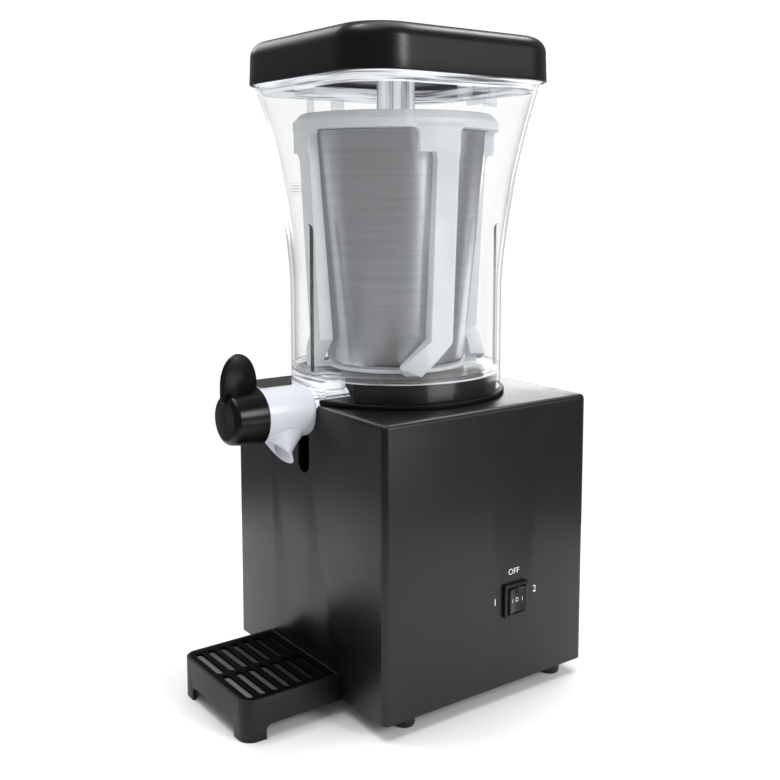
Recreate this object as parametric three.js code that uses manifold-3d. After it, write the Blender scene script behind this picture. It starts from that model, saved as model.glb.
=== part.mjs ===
// Table-top slush machine: a black drive housing, a clear jug with a paddle that turns round an
// ice core, a lid, a tap and a drip tray. Millimetres, +Z up, +X to the switch side, -Y to the tap.
// The origin is at the middle of the footprint, on the surface that the machine stands on.
import * as THREE from "three";
import { mergeVertices } from "three/addons/utils/BufferGeometryUtils.js";
import Module from "manifold-3d";

// Clearances shared by all pieces
const seatGap = 0.3; // between pieces that rest on or fit in each other
const cutOver = 2; // how far a cut runs past the face it opens
const leastFlat = 0.5; // half of the shortest straight side left between two round corners

// Housing, which leaves a margin round the jug
const sideMargin = 21.5;
const frontMargin = 3.5;
const backMargin = 24.5;
const housingHeight = 210;
const housingCorner = 5;
const housingEdge = 4; // round of the top edge
const housingWall = 2.8;
const plateThickness = 2.6;
const plateRise = 1; // the bottom plate lies this far up inside the housing
const ventWidth = 4;
const ventLength = 46;
const ventPitch = 11;
const ventBack = 34; // from the housing's middle to the vents' middle
const ventCount = 5;

// Feet and their screws
const footHeight = 11;
const footRadius = 7.6;
const footTaper = 1;
const footSideInset = 15;
const footFrontInset = 28;
const footBackInset = 20;
const screwRadius = 1.9;
const screwHeadRadius = 3.6;
const screwHeadHeight = 2.2;
const screwHeadRise = 2.6; // how deep a foot screw's head is sunk
const screwReach = 5;

// Seat collar on the housing's top, which centres the jug
const collarMargin = 3; // from the jug's skirt to the collar's edge
const collarFlange = 3.5;
const collarRingWall = 3;
const collarClear = 0.6; // between the collar's ring and the jug's skirt
const collarGapAngle = 31; // half of the gap in the ring at the front, in degrees
const troughWall = 2;
const collarScrewInset = 29; // from the jug's outside in to the collar's screws
const collarScrewCount = 3;

// Jug
const jugRadius = 81;
const jugWall = 2.8;
const jugDepth = 213; // from its floor to its rim
const roundDepth = 60; // the jug is a plain cylinder up to this far above its floor
const jugFlare = 7; // how far the rim's flat sides stand out over the cylinder
const jugTopCorner = 38;
const jugFlarePower = 1.6;
const jugLevels = 6;
const skirtWall = 2.6;
const floorThickness = 2.8;
const floorClear = 1.2; // between the jug's floor and the coupler's cup
const ribDepth = 3;
const ribWidth = 2;
const ribLength = 110; // above the jug's floor
const ribRound = 5;
const ribAngle = 135; // from the front rib to each rear rib
const hubWall = 2.7;
const hubRise = 13; // above the jug's floor
const hubLip = 2.5;
const sealWall = 4;

// Outlet under the jug's floor, round the tap's axis
const tapDrop = 6; // the tap's axis lies this far below the housing's top
const outletRadius = 17;
const outletWall = 3.5;
const outletInset = 2; // the outlet's face lies this far behind the housing's front
const outletBackWall = 3;
const wellRadius = 12.5;
const wellWall = 3;
const wellInset = 19; // from the jug's outside in to the well's axis

// Keyhole in the housing's front that the outlet drops into
const notchClear = 1.4;
const notchRound = 7;
const gutterClear = 5; // between the well and the gutter's end
const slotHalf = 8.6;
const slotDrop = 50;

// Tap
const tapStep = 2; // how far the tap's tube stands out over the outlet
const tapWall = 3;
const tapLength = 38;
const tapBackWall = 2.5;
const spigotWall = 2.7;
const spigotLength = 14;
const plugWall = 2.6;
const plugPort = 6.5;
const plugFrontWall = 4;
const grooveDepth = 1.8;
const grooveWidth = 3;
const grooveBack = 3; // from the plug's front end to the groove
const stemRadius = 6;
const stemLength = 14;
const spoutRadius = 8.6;
const spoutWall = 2.3;
const spoutForward = 16; // from the housing's front to the middle of the spout's mouth
const spoutDrop = 31; // from the tap's axis to the middle of the spout's mouth
const spoutSlant = 45; // slant of the mouth, in degrees
const spoutRootForward = 18;
const spoutRootHalfLength = 16.5;
const spoutRootHalfWidth = 14.5;
const spoutRootDrop = 9;
const spoutLevels = 8;
const spoutFlarePower = 2.2;

// Tap knob
const knobRadius = 21;
const knobFrontRadius = 18.5;
const knobLength = 21;
const knobDome = 6;
const finWidth = 28;
const finThickness = 4;
const finRise = 47;
const finToeRise = 8; // the fin's front edge ends this far above the axis

// Drive inside the housing
const shaftRadius = 4;
const shaftRun = 0.3; // running clearance round a shaft
const gearboxWidth = 70;
const gearboxDepth = 56;
const gearboxHeight = 25;
const gearboxCorner = 6;
const gearboxDrop = 16; // from the housing's top to the gearbox's top
const shaftDepth = 18; // how far the drive shaft reaches into the gearbox
const motorRadius = 21;
const motorHeight = 62;
const motorBack = 6; // the motor's axis behind the drive shaft
const motorCapRadius = 9;
const motorCapHeight = 4;
const bracketThickness = 2;
const bracketMargin = 8;
const standoffRadius = 4;
const bushWall = 4.9;
const bushFlangeMargin = 3.8;
const bushFlange = 1.6;
const bushDepth = 9;

// Couplings between the housing and the jug, and the shaft through the jug's floor
const lobeCount = 6;
const lobeReach = 4.5; // from the shaft out to the lobes' tips
const lobeDepth = 1.6;
const lobeClear = 0.4;
const couplerHeight = 7;
const cupWall = 4;
const cupRoof = 3;
const hexStep = 1.4; // how far the hexagon's corners stand out over the shaft
const hexClear = 0.4;
const hexHeight = 10;
const washerThickness = 1.5;

// Paddle
const paddleTurn = -7.2; // how the paddle stands at rest, in degrees
const barCount = 4;
const ringInset = 3; // from the jug's outside in to the ring's outside
const ringDepth = 7.6; // from the ring's outside in to its inside
const ringChamfer = 5.8;
const ringDrop = 23; // from the jug's rim down to the ring's top
const ringHeight = 12;
const ringSide = 6; // the plain part of the ring's height
const barWidth = 18;
const tabReach = 22.8; // from a bar's middle to the side of its wide top
const tabHeight = 17;
const barFillet = 5;
const barRise = 24; // from the jug's floor to the bars' lower ends
const barLowInset = 11.6; // from the jug's outside in to a bar's outside
const barTopInset = 3.4;
const barDepth = 11.4;
const toeReach = 32; // from a bar's middle to the far side of its foot's toe
const toeRise = 6.5; // how far the toe's far corner stands above its near one
const barSteps = 3;
const paddleFloorGap = 0.8;
const baseThickness = 2.4;
const baseRingWidth = 13;
const armWidth = 13;
const paddleHubWall = 4;

// Ice core
const coreTopInset = 12; // from the jug's outside in to the core's top edge
const coreTaper = 16.7;
const coreBelowRing = 1;
const coreEdge = 3;
const coreWall = 1.6;
const coreFloorGap = 1;
const puntClear = 1.5; // between the core's hollow foot and the paddle's hub
const gasketThickness = 1.6;
const gasketWidth = 4;
const capFlange = 3.2;
const capOverhang = 0.4;
const capPlugDepth = 9;
const capPlugWall = 2.5;
const capPlugLead = 1; // how much the plug narrows to its low end
const socketWall = 3;
const socketRise = 8;

// Centre post between the lid and the ice core
const postRadius = 14.5;
const postWall = 2.2;
const fluteCount = 12;
const fluteDepth = 1;
const fluteSteps = 4;

// Lid and its clear liner
const lidOverhang = 3; // how far the lid stands out over the jug's rim
const lidTaper = 0.8;
const lidSide = 20.5; // from the lid's lower edge to its shoulder
const lidRound = 12;
const lidDome = 2.5;
const lidWall = 2.4;
const domeLevels = 3;
const domeFlatShare = 0.15;
const linerFlange = 2.4;
const linerWall = 2.2;
const linerPlug = 7;
const linerRise = 4.3; // from the liner's flange up to its plate
const linerClear = 0.8; // between the liner and the jug's mouth
const linerStep = 6; // from the liner's flange in to its upper wall
const lugWidth = 24;
const lugHeight = 4;
const lugThickness = 3;
const hookWidth = 6;
const hookLength = 13;
const hookSpread = 23;
const hookToe = 5;

// Drip tray and grille
const trayWidth = 98;
const trayLength = 77.7;
const trayTop = 30;
const trayWall = 2.4;
const trayCorner = 10;
const trayFloorRise = 12;
const trayFloor = 2;
const trayLeg = 17; // how far each leg runs along the tray's front and side
const archHeight = 10;
const archRound = 4;
const ledgeWidth = 2;
const grilleThickness = 3;
const slotBar = 4.2; // left between two rows of slots
const slotSideMargin = 4.3;
const slotEndMargin = 3.7;
const slotRows = 7;
const slotColumns = 2;
const slotBridge = 5; // left between the two columns of slots
const tongueWidth = 12;
const tongueThickness = 2.6;
const tongueLength = 9;
const tongueRise = 16;
const tongueSpread = 30;

// Switch on the +X side
const switchBack = 118; // from the housing's front to the switch's middle
const switchRise = 64.8; // from the housing's underside to the switch's middle
const bezelWidth = 23;
const bezelHeight = 25;
const bezelProud = 3;
const bezelRim = 2.6;
const bezelCorner = 1.5;
const switchDepth = 16;
const switchWall = 1;
const switchBackWall = 2;
const rockerProud = 1.8; // how far the rocker's ends stand past the bezel
const rockerDish = 2;
const rockerPivot = 2; // how deep the pivot lies behind the bezel's face
const rockerBack = 5;
const rockerSide = 0.6;
const pinRadius = 1.5;
const terminalCount = 3;
const terminalWidth = 4.8;
const terminalThickness = 0.8;
const terminalLength = 8;
const terminalPitch = 6;

// Cord gland on the back
const glandRadius = 6;
const glandFlangeRadius = 9;
const glandFlange = 2.5;
const glandBore = 3.5;
const glandTail = 6;
const glandRise = 28;
const glandSide = 60;

// Facets
const roundSteps = 32;
const midSteps = 16;
const smallSteps = 12;
const filletSteps = 3;
const cornerSteps = 7; // in each corner of the jug and the lid
const outlineSteps = 2; // half of the facets in each arc of a flat outline

// Sizes worked out from those above
const degree = Math.PI / 180;
const quarter = 90 * degree;
const housingWidth = 2 * (jugRadius + sideMargin);
const housingDepth = 2 * jugRadius + frontMargin + backMargin;
const jugForward = (backMargin - frontMargin) / 2; // from the housing's middle to the jug's axis
const collarRadius = jugRadius + collarMargin;
const collarScrewRing = jugRadius - collarScrewInset;
const skirtInner = jugRadius - skirtWall;
const collarRing = skirtInner - collarClear;
const jugTopHalf = jugRadius + jugFlare;
const bushRadius = shaftRadius + shaftRun + bushWall;
const bushFlangeRadius = bushRadius + bushFlangeMargin;
const lobeRadius = shaftRadius + lobeReach;
const cupRadius = lobeRadius + cupWall;
const hexRadius = shaftRadius + hexStep;
const sealRadius = shaftRadius + sealWall;
const hubBore = sealRadius + seatGap;
const hubRadius = hubBore + hubWall;
const paddleHubInner = hubRadius + puntClear / 2;
const paddleHubRadius = paddleHubInner + paddleHubWall;
const outletBore = outletRadius - outletWall;
const wellBore = wellRadius - wellWall;
const wellForward = jugRadius - wellInset;
const notchHalf = outletRadius + notchClear;
const tapRadius = outletRadius + tapStep;
const tapBore = tapRadius - tapWall;
const spigotRadius = outletBore - seatGap;
const spigotBore = spigotRadius - spigotWall;
const spoutBore = spoutRadius - spoutWall;
const ringRadius = jugRadius - ringInset;
const ringInner = ringRadius - ringDepth;
const barLowRadius = jugRadius - barLowInset;
const barTopRadius = jugRadius - barTopInset;
const coreTopRadius = jugRadius - coreTopInset;
const coreLowRadius = coreTopRadius - coreTaper;
const puntRadius = paddleHubRadius + puntClear;
const capFlangeRadius = coreTopRadius + capOverhang;
const lidHalf = jugTopHalf + lidOverhang;
const grilleWidth = trayWidth - 2 * (trayWall + seatGap);
const grilleLength = trayLength - 2 * (trayWall + seatGap);
const slotLength = (grilleWidth - slotBridge) / 2 - slotSideMargin;
const slotPitch = (grilleLength - slotEndMargin) / slotRows;
const slotWidth = slotPitch - slotBar;

// Places from the ground and the housing's middle
const topZ = footHeight + housingHeight;
const sideX = housingWidth / 2;
const frontY = -housingDepth / 2;
const backY = housingDepth / 2;
const plateLow = footHeight + plateRise;
const trayBack = frontY - seatGap;

// Places from the jug's axis and the housing's top
const frontOfJug = -jugRadius - frontMargin;
const wellEnd = wellRadius - wellForward;
const gutterEnd = wellEnd + gutterClear;
const skirtLow = collarFlange + seatGap;
const couplerLow = skirtLow + bushFlange + seatGap;
const couplerTop = couplerLow + couplerHeight;
const cupCeiling = couplerTop + seatGap;
const floorLow = cupCeiling + cupRoof + floorClear;
const floorTop = floorLow + floorThickness;
const floorMiddle = floorTop - floorThickness / 2;
const jugHeight = floorTop + jugDepth;
const jugRoundHeight = floorTop + roundDepth;
const ribTop = floorTop + ribLength;
const hubTop = floorTop + hubRise;
const washerLow = hubTop + seatGap;
const paddleLow = floorTop + paddleFloorGap;
const paddleRoof = washerLow + washerThickness + seatGap;
const hexTop = paddleRoof + hexHeight;
const barLow = floorTop + barRise;
const ringHigh = jugHeight - ringDrop;
const ringLow = ringHigh - ringHeight;
const ringShoulder = ringLow + ringSide;
const coreLow = paddleLow + baseThickness + coreFloorGap;
const coreTop = ringLow - coreBelowRing;
const puntTop = hexTop + seatGap;
const gasketLow = coreTop + seatGap;
const capLow = gasketLow + gasketThickness + seatGap;
const capTop = capLow + capFlange;
const flangeLow = jugHeight + seatGap;
const flangeTop = flangeLow + linerFlange;
const linerPlate = flangeTop + linerRise;
const knobBack = tapLength + 2 * seatGap; // from the housing's front

const wasm = await Module();
wasm.setup();

// A closed three.js geometry as a solid that can be joined and cut
function solid(geometry) {
  const bare = geometry.index ? geometry.toNonIndexed() : geometry.clone();
  bare.deleteAttribute("normal");
  bare.deleteAttribute("uv");
  const merged = mergeVertices(bare, seatGap / 1000);
  return new wasm.Manifold(
    new wasm.Mesh({
      numProp: 3,
      vertProperties: merged.attributes.position.array,
      triVerts: new Uint32Array(merged.index.array),
    }),
  );
}

// A solid as a geometry with flat facets
function surface(made) {
  const mesh = made.getMesh();
  const geometry = new THREE.BufferGeometry();
  geometry.setAttribute("position", new THREE.Float32BufferAttribute(mesh.vertProperties, 3));
  geometry.setIndex(Array.from(mesh.triVerts));
  const flat = geometry.toNonIndexed();
  flat.computeVertexNormals();
  return flat;
}

// The first geometry joined with the others, or with the others cut away
function joined(first, ...rest) {
  return surface(rest.reduce((made, next) => made.add(solid(next)), solid(first)));
}

function cutBy(first, ...rest) {
  return surface(rest.reduce((made, next) => made.subtract(solid(next)), solid(first)));
}
const common = (first, second) => surface(solid(first).intersect(solid(second)));

const at = (x, y, z) => new THREE.Vector3(x, y, z);

// A block between two corners
function block(low, high) {
  const size = new THREE.Vector3().subVectors(high, low);
  const middle = new THREE.Vector3().addVectors(low, high).divideScalar(2);
  return new THREE.BoxGeometry(size.x, size.y, size.z).translate(middle.x, middle.y, middle.z);
}

// A body turned about Z from radius and height pairs that end on the axis or close on themselves
function turned(pairs, steps = roundSteps) {
  const profile = pairs.map(([radius, height]) => new THREE.Vector2(radius, height));
  return new THREE.LatheGeometry(profile, steps).rotateX(quarter);
}

// A ring between two radii and two heights
function band(inner, outer, low, high, steps = roundSteps) {
  return turned([[inner, low], [outer, low], [outer, high], [inner, high], [inner, low]], steps);
}

// A round bar between two heights
function rod(radius, low, high, steps = smallSteps) {
  return turned([[0, low], [radius, low], [radius, high], [0, high]], steps);
}

// A flat outline pushed up from one height to another
function prism(shape, low, high) {
  const options = { depth: high - low, bevelEnabled: false, curveSegments: outlineSteps };
  return new THREE.ExtrudeGeometry(shape, options).translate(0, 0, low);
}

// The outline of a rectangle with round corners
function roundRect(width, depth, radius, x = 0, y = 0) {
  const shape = new THREE.Shape();
  const right = x + width / 2 - radius;
  const left = x - width / 2 + radius;
  const high = y + depth / 2 - radius;
  const low = y - depth / 2 + radius;
  shape.absarc(right, low, radius, -quarter, 0, false);
  shape.absarc(right, high, radius, 0, quarter, false);
  shape.absarc(left, high, radius, quarter, 2 * quarter, false);
  shape.absarc(left, low, radius, 2 * quarter, 3 * quarter, false);
  return shape;
}

// A closed skin over rings of points, from the lowest ring to the highest
function loft(rings) {
  const count = rings[0].length;
  const faces = [];
  for (let level = 0; level + 1 < rings.length; level++) {
    for (let i = 0; i < count; i++) {
      const a = level * count + i;
      const b = level * count + ((i + 1) % count);
      faces.push(a, b, b + count, a, b + count, a + count);
    }
  }
  const flat = (ring) => ring.map((p) => new THREE.Vector2(p.x, p.y));
  const last = (rings.length - 1) * count;
  for (const [a, b, c] of THREE.ShapeUtils.triangulateShape(flat(rings[0]), [])) {
    faces.push(a, c, b);
  }
  for (const [a, b, c] of THREE.ShapeUtils.triangulateShape(flat(rings.at(-1)), [])) {
    faces.push(last + a, last + b, last + c);
  }
  const geometry = new THREE.BufferGeometry().setFromPoints(rings.flat());
  geometry.setIndex(faces);
  return geometry;
}

// A ring of points round a rectangle with arcs at its corners
function rectRing(width, depth, radius, z, steps = filletSteps) {
  const ring = [];
  const quarters = [[1, -1, -1], [1, 1, 0], [-1, 1, 1], [-1, -1, 2]];
  for (const [sideways, along, start] of quarters) {
    for (let i = 0; i <= steps; i++) {
      const angle = (start + i / steps) * quarter;
      const x = sideways * (width / 2 - radius) + radius * Math.cos(angle);
      const y = along * (depth / 2 - radius) + radius * Math.sin(angle);
      ring.push(at(x, y, z));
    }
  }
  return ring;
}

// A ring of points round a rounded square, which may be all but a circle
function squareRing(half, corner, z) {
  return rectRing(2 * half, 2 * half, Math.min(corner, half - leastFlat), z, cornerSteps);
}

const machine = new THREE.Group();
machine.position.set(
  -(bezelProud + rockerProud) / 2,
  -(trayBack - trayLength + backY + seatGap + glandFlange) / 2,
  0,
);

// A holder whose origin is on the jug's axis at the housing's top
const jugFrame = new THREE.Group();
jugFrame.position.set(0, -jugForward, topZ);

// A holder on the tap's axis at the housing's front, with its own Z forward and its own Y up
const tapFrame = new THREE.Group();
tapFrame.position.set(0, frontY, topZ - tapDrop);
tapFrame.rotation.x = quarter;

// A holder on the switch's middle at the housing's side, with its own Z outward and its own Y up
const switchFrame = new THREE.Group();
switchFrame.position.set(sideX, frontY + switchBack, footHeight + switchRise);
switchFrame.rotation.set(quarter, quarter, 0);

machine.add(jugFrame, tapFrame, switchFrame);

// Finishes
const satinBlack = { color: 0x1c1c1e, roughness: 0.45, metalness: 0.1 };
const glossBlack = { color: 0x101012, roughness: 0.25, metalness: 0 };
const rubberBlack = { color: 0x0c0c0c, roughness: 0.8, metalness: 0 };
const steel = { color: 0xb9bcbf, roughness: 0.3, metalness: 1 };
const clear = { color: 0xeef2f4, roughness: 0.05, metalness: 0, transparent: true, opacity: 0.3 };
const frosted = { color: 0xe9ebec, roughness: 0.5, metalness: 0 };
const white = { color: 0xf2f3f6, roughness: 0.35, metalness: 0 };
const zinc = { color: 0x8d9094, roughness: 0.4, metalness: 1 };
const brass = { color: 0xb5954a, roughness: 0.35, metalness: 1 };
const silicone = { color: 0xd8dadb, roughness: 0.6, metalness: 0 };

// Hangs a named piece in a holder
function place(holder, name, geometry, finish) {
  const mesh = new THREE.Mesh(geometry, new THREE.MeshStandardMaterial(finish));
  mesh.name = name;
  holder.add(mesh);
  return mesh;
}

// The keyhole that the outlet drops into, seen from the front, from the tap's axis
function keyhole(grow) {
  const half = notchHalf + grow;
  const meet = Math.acos(slotHalf / half);
  const lip = half + notchRound;
  const round = tapDrop - notchRound;
  const slotEnd = tapDrop - slotDrop + slotHalf;
  const shape = new THREE.Shape();
  shape.moveTo(lip, tapDrop + cutOver);
  shape.lineTo(-lip, tapDrop + cutOver);
  shape.absarc(-lip, round, notchRound, quarter, 0, true);
  shape.absarc(0, 0, half, 2 * quarter, 2 * quarter + meet, false);
  shape.absarc(0, slotEnd, slotHalf, 2 * quarter, 4 * quarter, false);
  shape.absarc(0, 0, half, -meet, 0, false);
  shape.absarc(lip, round, notchRound, 2 * quarter, quarter, true);
  return shape;
}

// A tongue of the drip tray, or with a clearance the hole it goes into
function tongue(side, space) {
  const x = side * tongueSpread;
  return block(
    at(x - tongueWidth / 2 - space, trayBack - trayWall / 2, tongueRise - space),
    at(x + tongueWidth / 2 + space, trayBack + tongueLength + space, tongueRise + tongueThickness + space),
  );
}

// The places of the collar's screws round the jug's axis, with none at the front
function collarScrewPlaces() {
  const places = [];
  for (let i = 0; i < collarScrewCount; i++) {
    const angle = (1 + (4 * i) / collarScrewCount) * quarter;
    places.push([collarScrewRing * Math.cos(angle), collarScrewRing * Math.sin(angle)]);
  }
  return places;
}

// The housing's block with its top edge rounded over
function housingBlock() {
  const rings = [rectRing(housingWidth, housingDepth, housingCorner, footHeight)];
  for (let i = 0; i <= filletSteps; i++) {
    const angle = (i / filletSteps) * quarter;
    const inset = housingEdge * (1 - Math.cos(angle));
    const z = topZ - housingEdge * (1 - Math.sin(angle));
    const corner = Math.max(housingCorner - inset, housingCorner / 4);
    rings.push(rectRing(housingWidth - 2 * inset, housingDepth - 2 * inset, corner, z));
  }
  return loft(rings);
}

function housingShell() {
  const innerWidth = housingWidth - 2 * housingWall;
  const innerDepth = housingDepth - 2 * housingWall;
  const hollow = prism(
    roundRect(innerWidth, innerDepth, housingCorner / 2),
    footHeight - cutOver,
    topZ - housingWall,
  );
  const notch = prism(keyhole(0), -housingWall - cutOver, cutOver);
  notch.rotateX(quarter).translate(0, frontY, topZ - tapDrop);
  const channelHalf = notchHalf + troughWall + seatGap;
  const channel = block(
    at(-channelHalf, frontY + housingWall, topZ - housingWall - cutOver),
    at(channelHalf, gutterEnd - jugForward + troughWall + seatGap, topZ + cutOver),
  );
  const topHoles = collarScrewPlaces().map(([x, y]) => [x, y, screwRadius]);
  topHoles.push([0, 0, bushRadius]);
  const holes = topHoles.map(([x, y, radius]) => {
    const hole = rod(radius + seatGap, topZ - housingWall - cutOver, topZ + cutOver, midSteps);
    return hole.translate(x, y - jugForward, 0);
  });
  const switchHole = block(
    at(sideX - housingWall - cutOver, -switchHoleHalf(bezelWidth), -switchHoleHalf(bezelHeight)),
    at(sideX + cutOver, switchHoleHalf(bezelWidth), switchHoleHalf(bezelHeight)),
  );
  switchHole.translate(0, frontY + switchBack, footHeight + switchRise);
  const glandHole = rod(glandRadius + seatGap, -housingWall - cutOver, cutOver, midSteps);
  glandHole.rotateX(-quarter).translate(-glandSide, backY, footHeight + glandRise);
  const tongueHoles = [-1, 1].map((side) => tongue(side, seatGap));
  return cutBy(housingBlock(), hollow, notch, channel, ...holes, switchHole, glandHole, ...tongueHoles);
}

// Half of the switch's hole in the housing, along the side that the bezel covers
function switchHoleHalf(bezelSide) {
  return bezelSide / 2 - bezelRim + switchWall + seatGap;
}

const footPlaces = [
  ["front_left", -1, frontY + footFrontInset],
  ["front_right", 1, frontY + footFrontInset],
  ["rear_left", -1, backY - footBackInset],
  ["rear_right", 1, backY - footBackInset],
].map(([name, side, y]) => [name, side * (sideX - footSideInset), y]);

function bottomPlate() {
  const inset = housingWall + seatGap;
  const outline = roundRect(housingWidth - 2 * inset, housingDepth - 2 * inset, housingCorner / 2);
  for (let i = 0; i < ventCount; i++) {
    const x = (i - (ventCount - 1) / 2) * ventPitch;
    outline.holes.push(roundRect(ventWidth, ventLength, ventWidth / 2, x, ventBack));
  }
  const top = plateLow + plateThickness;
  const screwHoles = footPlaces.map(([, x, y]) =>
    rod(screwRadius + seatGap, plateLow - cutOver, top + cutOver).translate(x, y, 0),
  );
  return cutBy(prism(outline, plateLow, top), ...screwHoles);
}

function foot() {
  const top = plateLow - seatGap;
  const shank = screwRadius + seatGap;
  const sink = screwHeadRadius + seatGap;
  const seat = screwHeadRise + screwHeadHeight + seatGap;
  const profile = [
    [sink, 0],
    [footRadius - footTaper, 0],
    [footRadius - footTaper / 4, footTaper],
    [footRadius, top / 2],
    [footRadius, top],
    [shank, top],
    [shank, seat],
    [sink, seat],
    [sink, 0],
  ];
  return turned(profile, smallSteps);
}

// A screw that hangs from its head when it is turned over, and stands on it otherwise
function screw(headLow, headHigh, tip) {
  const shankStart = tip > headHigh ? headHigh : headLow;
  const head = rod(screwHeadRadius, headLow, headHigh);
  const overlap = (headHigh - headLow) / 2;
  const shank = rod(screwRadius, Math.min(tip, shankStart - overlap), Math.max(tip, shankStart + overlap));
  return joined(head, shank);
}

// The round-bottomed gutter under the outlet, or the space inside it
function gutter(half, backEnd, top) {
  const start = frontOfJug + housingWall + seatGap;
  const pipe = rod(half, start, backEnd, midSteps).rotateX(-quarter).translate(0, 0, -tapDrop);
  return joined(pipe, block(at(-half, start, -tapDrop), at(half, backEnd, top)));
}

function seatCollar() {
  const ringTop = floorLow - seatGap;
  const flange = band(bushRadius + seatGap, collarRadius, seatGap, collarFlange);
  const ring = band(collarRing - collarRingWall, collarRing, seatGap, ringTop);
  const wedge = new THREE.Shape();
  const reach = collarRadius * 2;
  const swing = collarGapAngle * degree;
  wedge.moveTo(0, 0);
  wedge.lineTo(-reach * Math.sin(swing), -reach * Math.cos(swing));
  wedge.lineTo(reach * Math.sin(swing), -reach * Math.cos(swing));
  const gap = prism(wedge, collarFlange, ringTop + cutOver);
  const lining = gutter(notchHalf + troughWall, gutterEnd + troughWall, collarFlange / 2);
  const space = gutter(notchHalf, gutterEnd, ringTop + cutOver);
  const mouth = block(
    at(-notchHalf, frontOfJug - cutOver, -tapDrop),
    at(notchHalf, frontOfJug + housingWall + cutOver, ringTop + cutOver),
  );
  const holes = collarScrewPlaces().map(([x, y]) =>
    rod(screwRadius + seatGap, -cutOver, collarFlange + cutOver).translate(x, y, 0),
  );
  return cutBy(joined(cutBy(joined(flange, ring), gap), lining), space, mouth, ...holes);
}

// How far the jug has opened from its round foot to its square mouth, from 0 to 1
function openShare(height) {
  const share = (height - jugRoundHeight) / (jugHeight - jugRoundHeight);
  return Math.max(0, share) ** jugFlarePower;
}

// The jug's outline at a height, drawn in by an inset
function jugRing(height, inset) {
  const open = openShare(height);
  const half = jugRadius + (jugTopHalf - jugRadius) * open - inset;
  const corner = jugRadius + (jugTopCorner - jugRadius) * open - inset;
  return squareRing(half, corner, height);
}

// The jug's outside from a height up, or with an inset its hollow, which runs on past the rim
function jugBody(low, inset, over) {
  const rings = [jugRing(low, inset)];
  for (let i = 0; i <= jugLevels; i++) {
    const height = jugRoundHeight + ((jugHeight - jugRoundHeight) * i) / jugLevels;
    rings.push(jugRing(height, inset));
  }
  if (over > 0) {
    const mouth = rings.at(-1).map((p) => at(p.x, p.y, p.z + over));
    rings.push(mouth);
  }
  return loft(rings);
}

// A thin rib on the jug's wall, turned from the front
function jugRib(turn) {
  const inner = jugRadius - jugWall - ribDepth;
  const outer = jugRadius * 2;
  const shape = new THREE.Shape();
  shape.moveTo(inner, floorMiddle);
  shape.lineTo(outer, floorMiddle);
  shape.lineTo(outer, ribTop);
  shape.lineTo(inner + ribRound, ribTop);
  shape.absarc(inner + ribRound, ribTop - ribRound, ribRound, quarter, 2 * quarter, false);
  const plate = prism(shape, -ribWidth / 2, ribWidth / 2).rotateX(quarter);
  return plate.rotateZ(turn * degree - quarter);
}

// The elbow that leads drink from the floor to the tap: its walls, or with less radius its bore
function outletElbow(pipeRadius, riserRadius, pipeEnd, riserTop) {
  const front = frontOfJug + outletInset;
  const pipe = rod(pipeRadius, front - (pipeRadius < outletRadius ? cutOver : 0), pipeEnd, midSteps);
  pipe.rotateX(-quarter).translate(0, 0, -tapDrop);
  const riser = rod(riserRadius, -tapDrop, riserTop, midSteps).translate(0, -wellForward, 0);
  return joined(pipe, riser);
}

function jugShell() {
  const outside = jugBody(skirtLow, 0, 0);
  const hollow = jugBody(floorTop, jugWall, cutOver);
  const underside = rod(skirtInner, skirtLow - cutOver, floorLow, roundSteps);
  const ribs = [0, ribAngle, -ribAngle].map((turn) => common(jugRib(turn), outside));
  const pipeEnd = wellBore - wellForward;
  const elbow = outletElbow(outletRadius, wellRadius, pipeEnd, floorMiddle);
  const bore = outletElbow(outletBore, wellBore, pipeEnd - outletBackWall, floorTop + cutOver);
  const hub = rod(hubRadius, floorMiddle, hubTop, midSteps);
  const sealBore = rod(hubBore, floorLow - cutOver, hubTop - hubLip, midSteps);
  const shaftHole = rod(shaftRadius + 2 * shaftRun, hubTop - hubLip - cutOver, hubTop + cutOver, midSteps);
  const shell = joined(cutBy(outside, hollow, underside), ...ribs, elbow, hub);
  return cutBy(shell, bore, sealBore, shaftHole);
}

// An ellipse of points below the tap's axis, with forward along -Y
function spoutRing(centreForward, drop, halfLength, halfWidth) {
  const ring = [];
  for (let i = 0; i < midSteps; i++) {
    const angle = (i / midSteps) * 4 * quarter;
    ring.push(at(halfWidth * Math.cos(angle), halfLength * Math.sin(angle) - centreForward, -drop));
  }
  return ring;
}

// The funnel that runs from the tap's belly down past the spout's mouth
function spoutFunnel() {
  const rings = [];
  const lowest = spoutDrop + spoutRadius * 2;
  for (let i = 0; i <= spoutLevels; i++) {
    const share = i / spoutLevels;
    const drop = lowest + (spoutRootDrop - lowest) * share;
    const flare = Math.max(0, (spoutDrop - drop) / (spoutDrop - spoutRootDrop)) ** spoutFlarePower;
    const centre = spoutForward + (spoutRootForward - spoutForward) * flare;
    const length = spoutRadius + (spoutRootHalfLength - spoutRadius) * flare;
    const width = spoutRadius + (spoutRootHalfWidth - spoutRadius) * flare;
    rings.push(spoutRing(centre, drop, length, width));
  }
  return loft(rings);
}

// Lays a shape made with height along Z and forward along -Y into the tap's own frame
const toTap = (geometry) => geometry.rotateX(-quarter);

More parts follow.
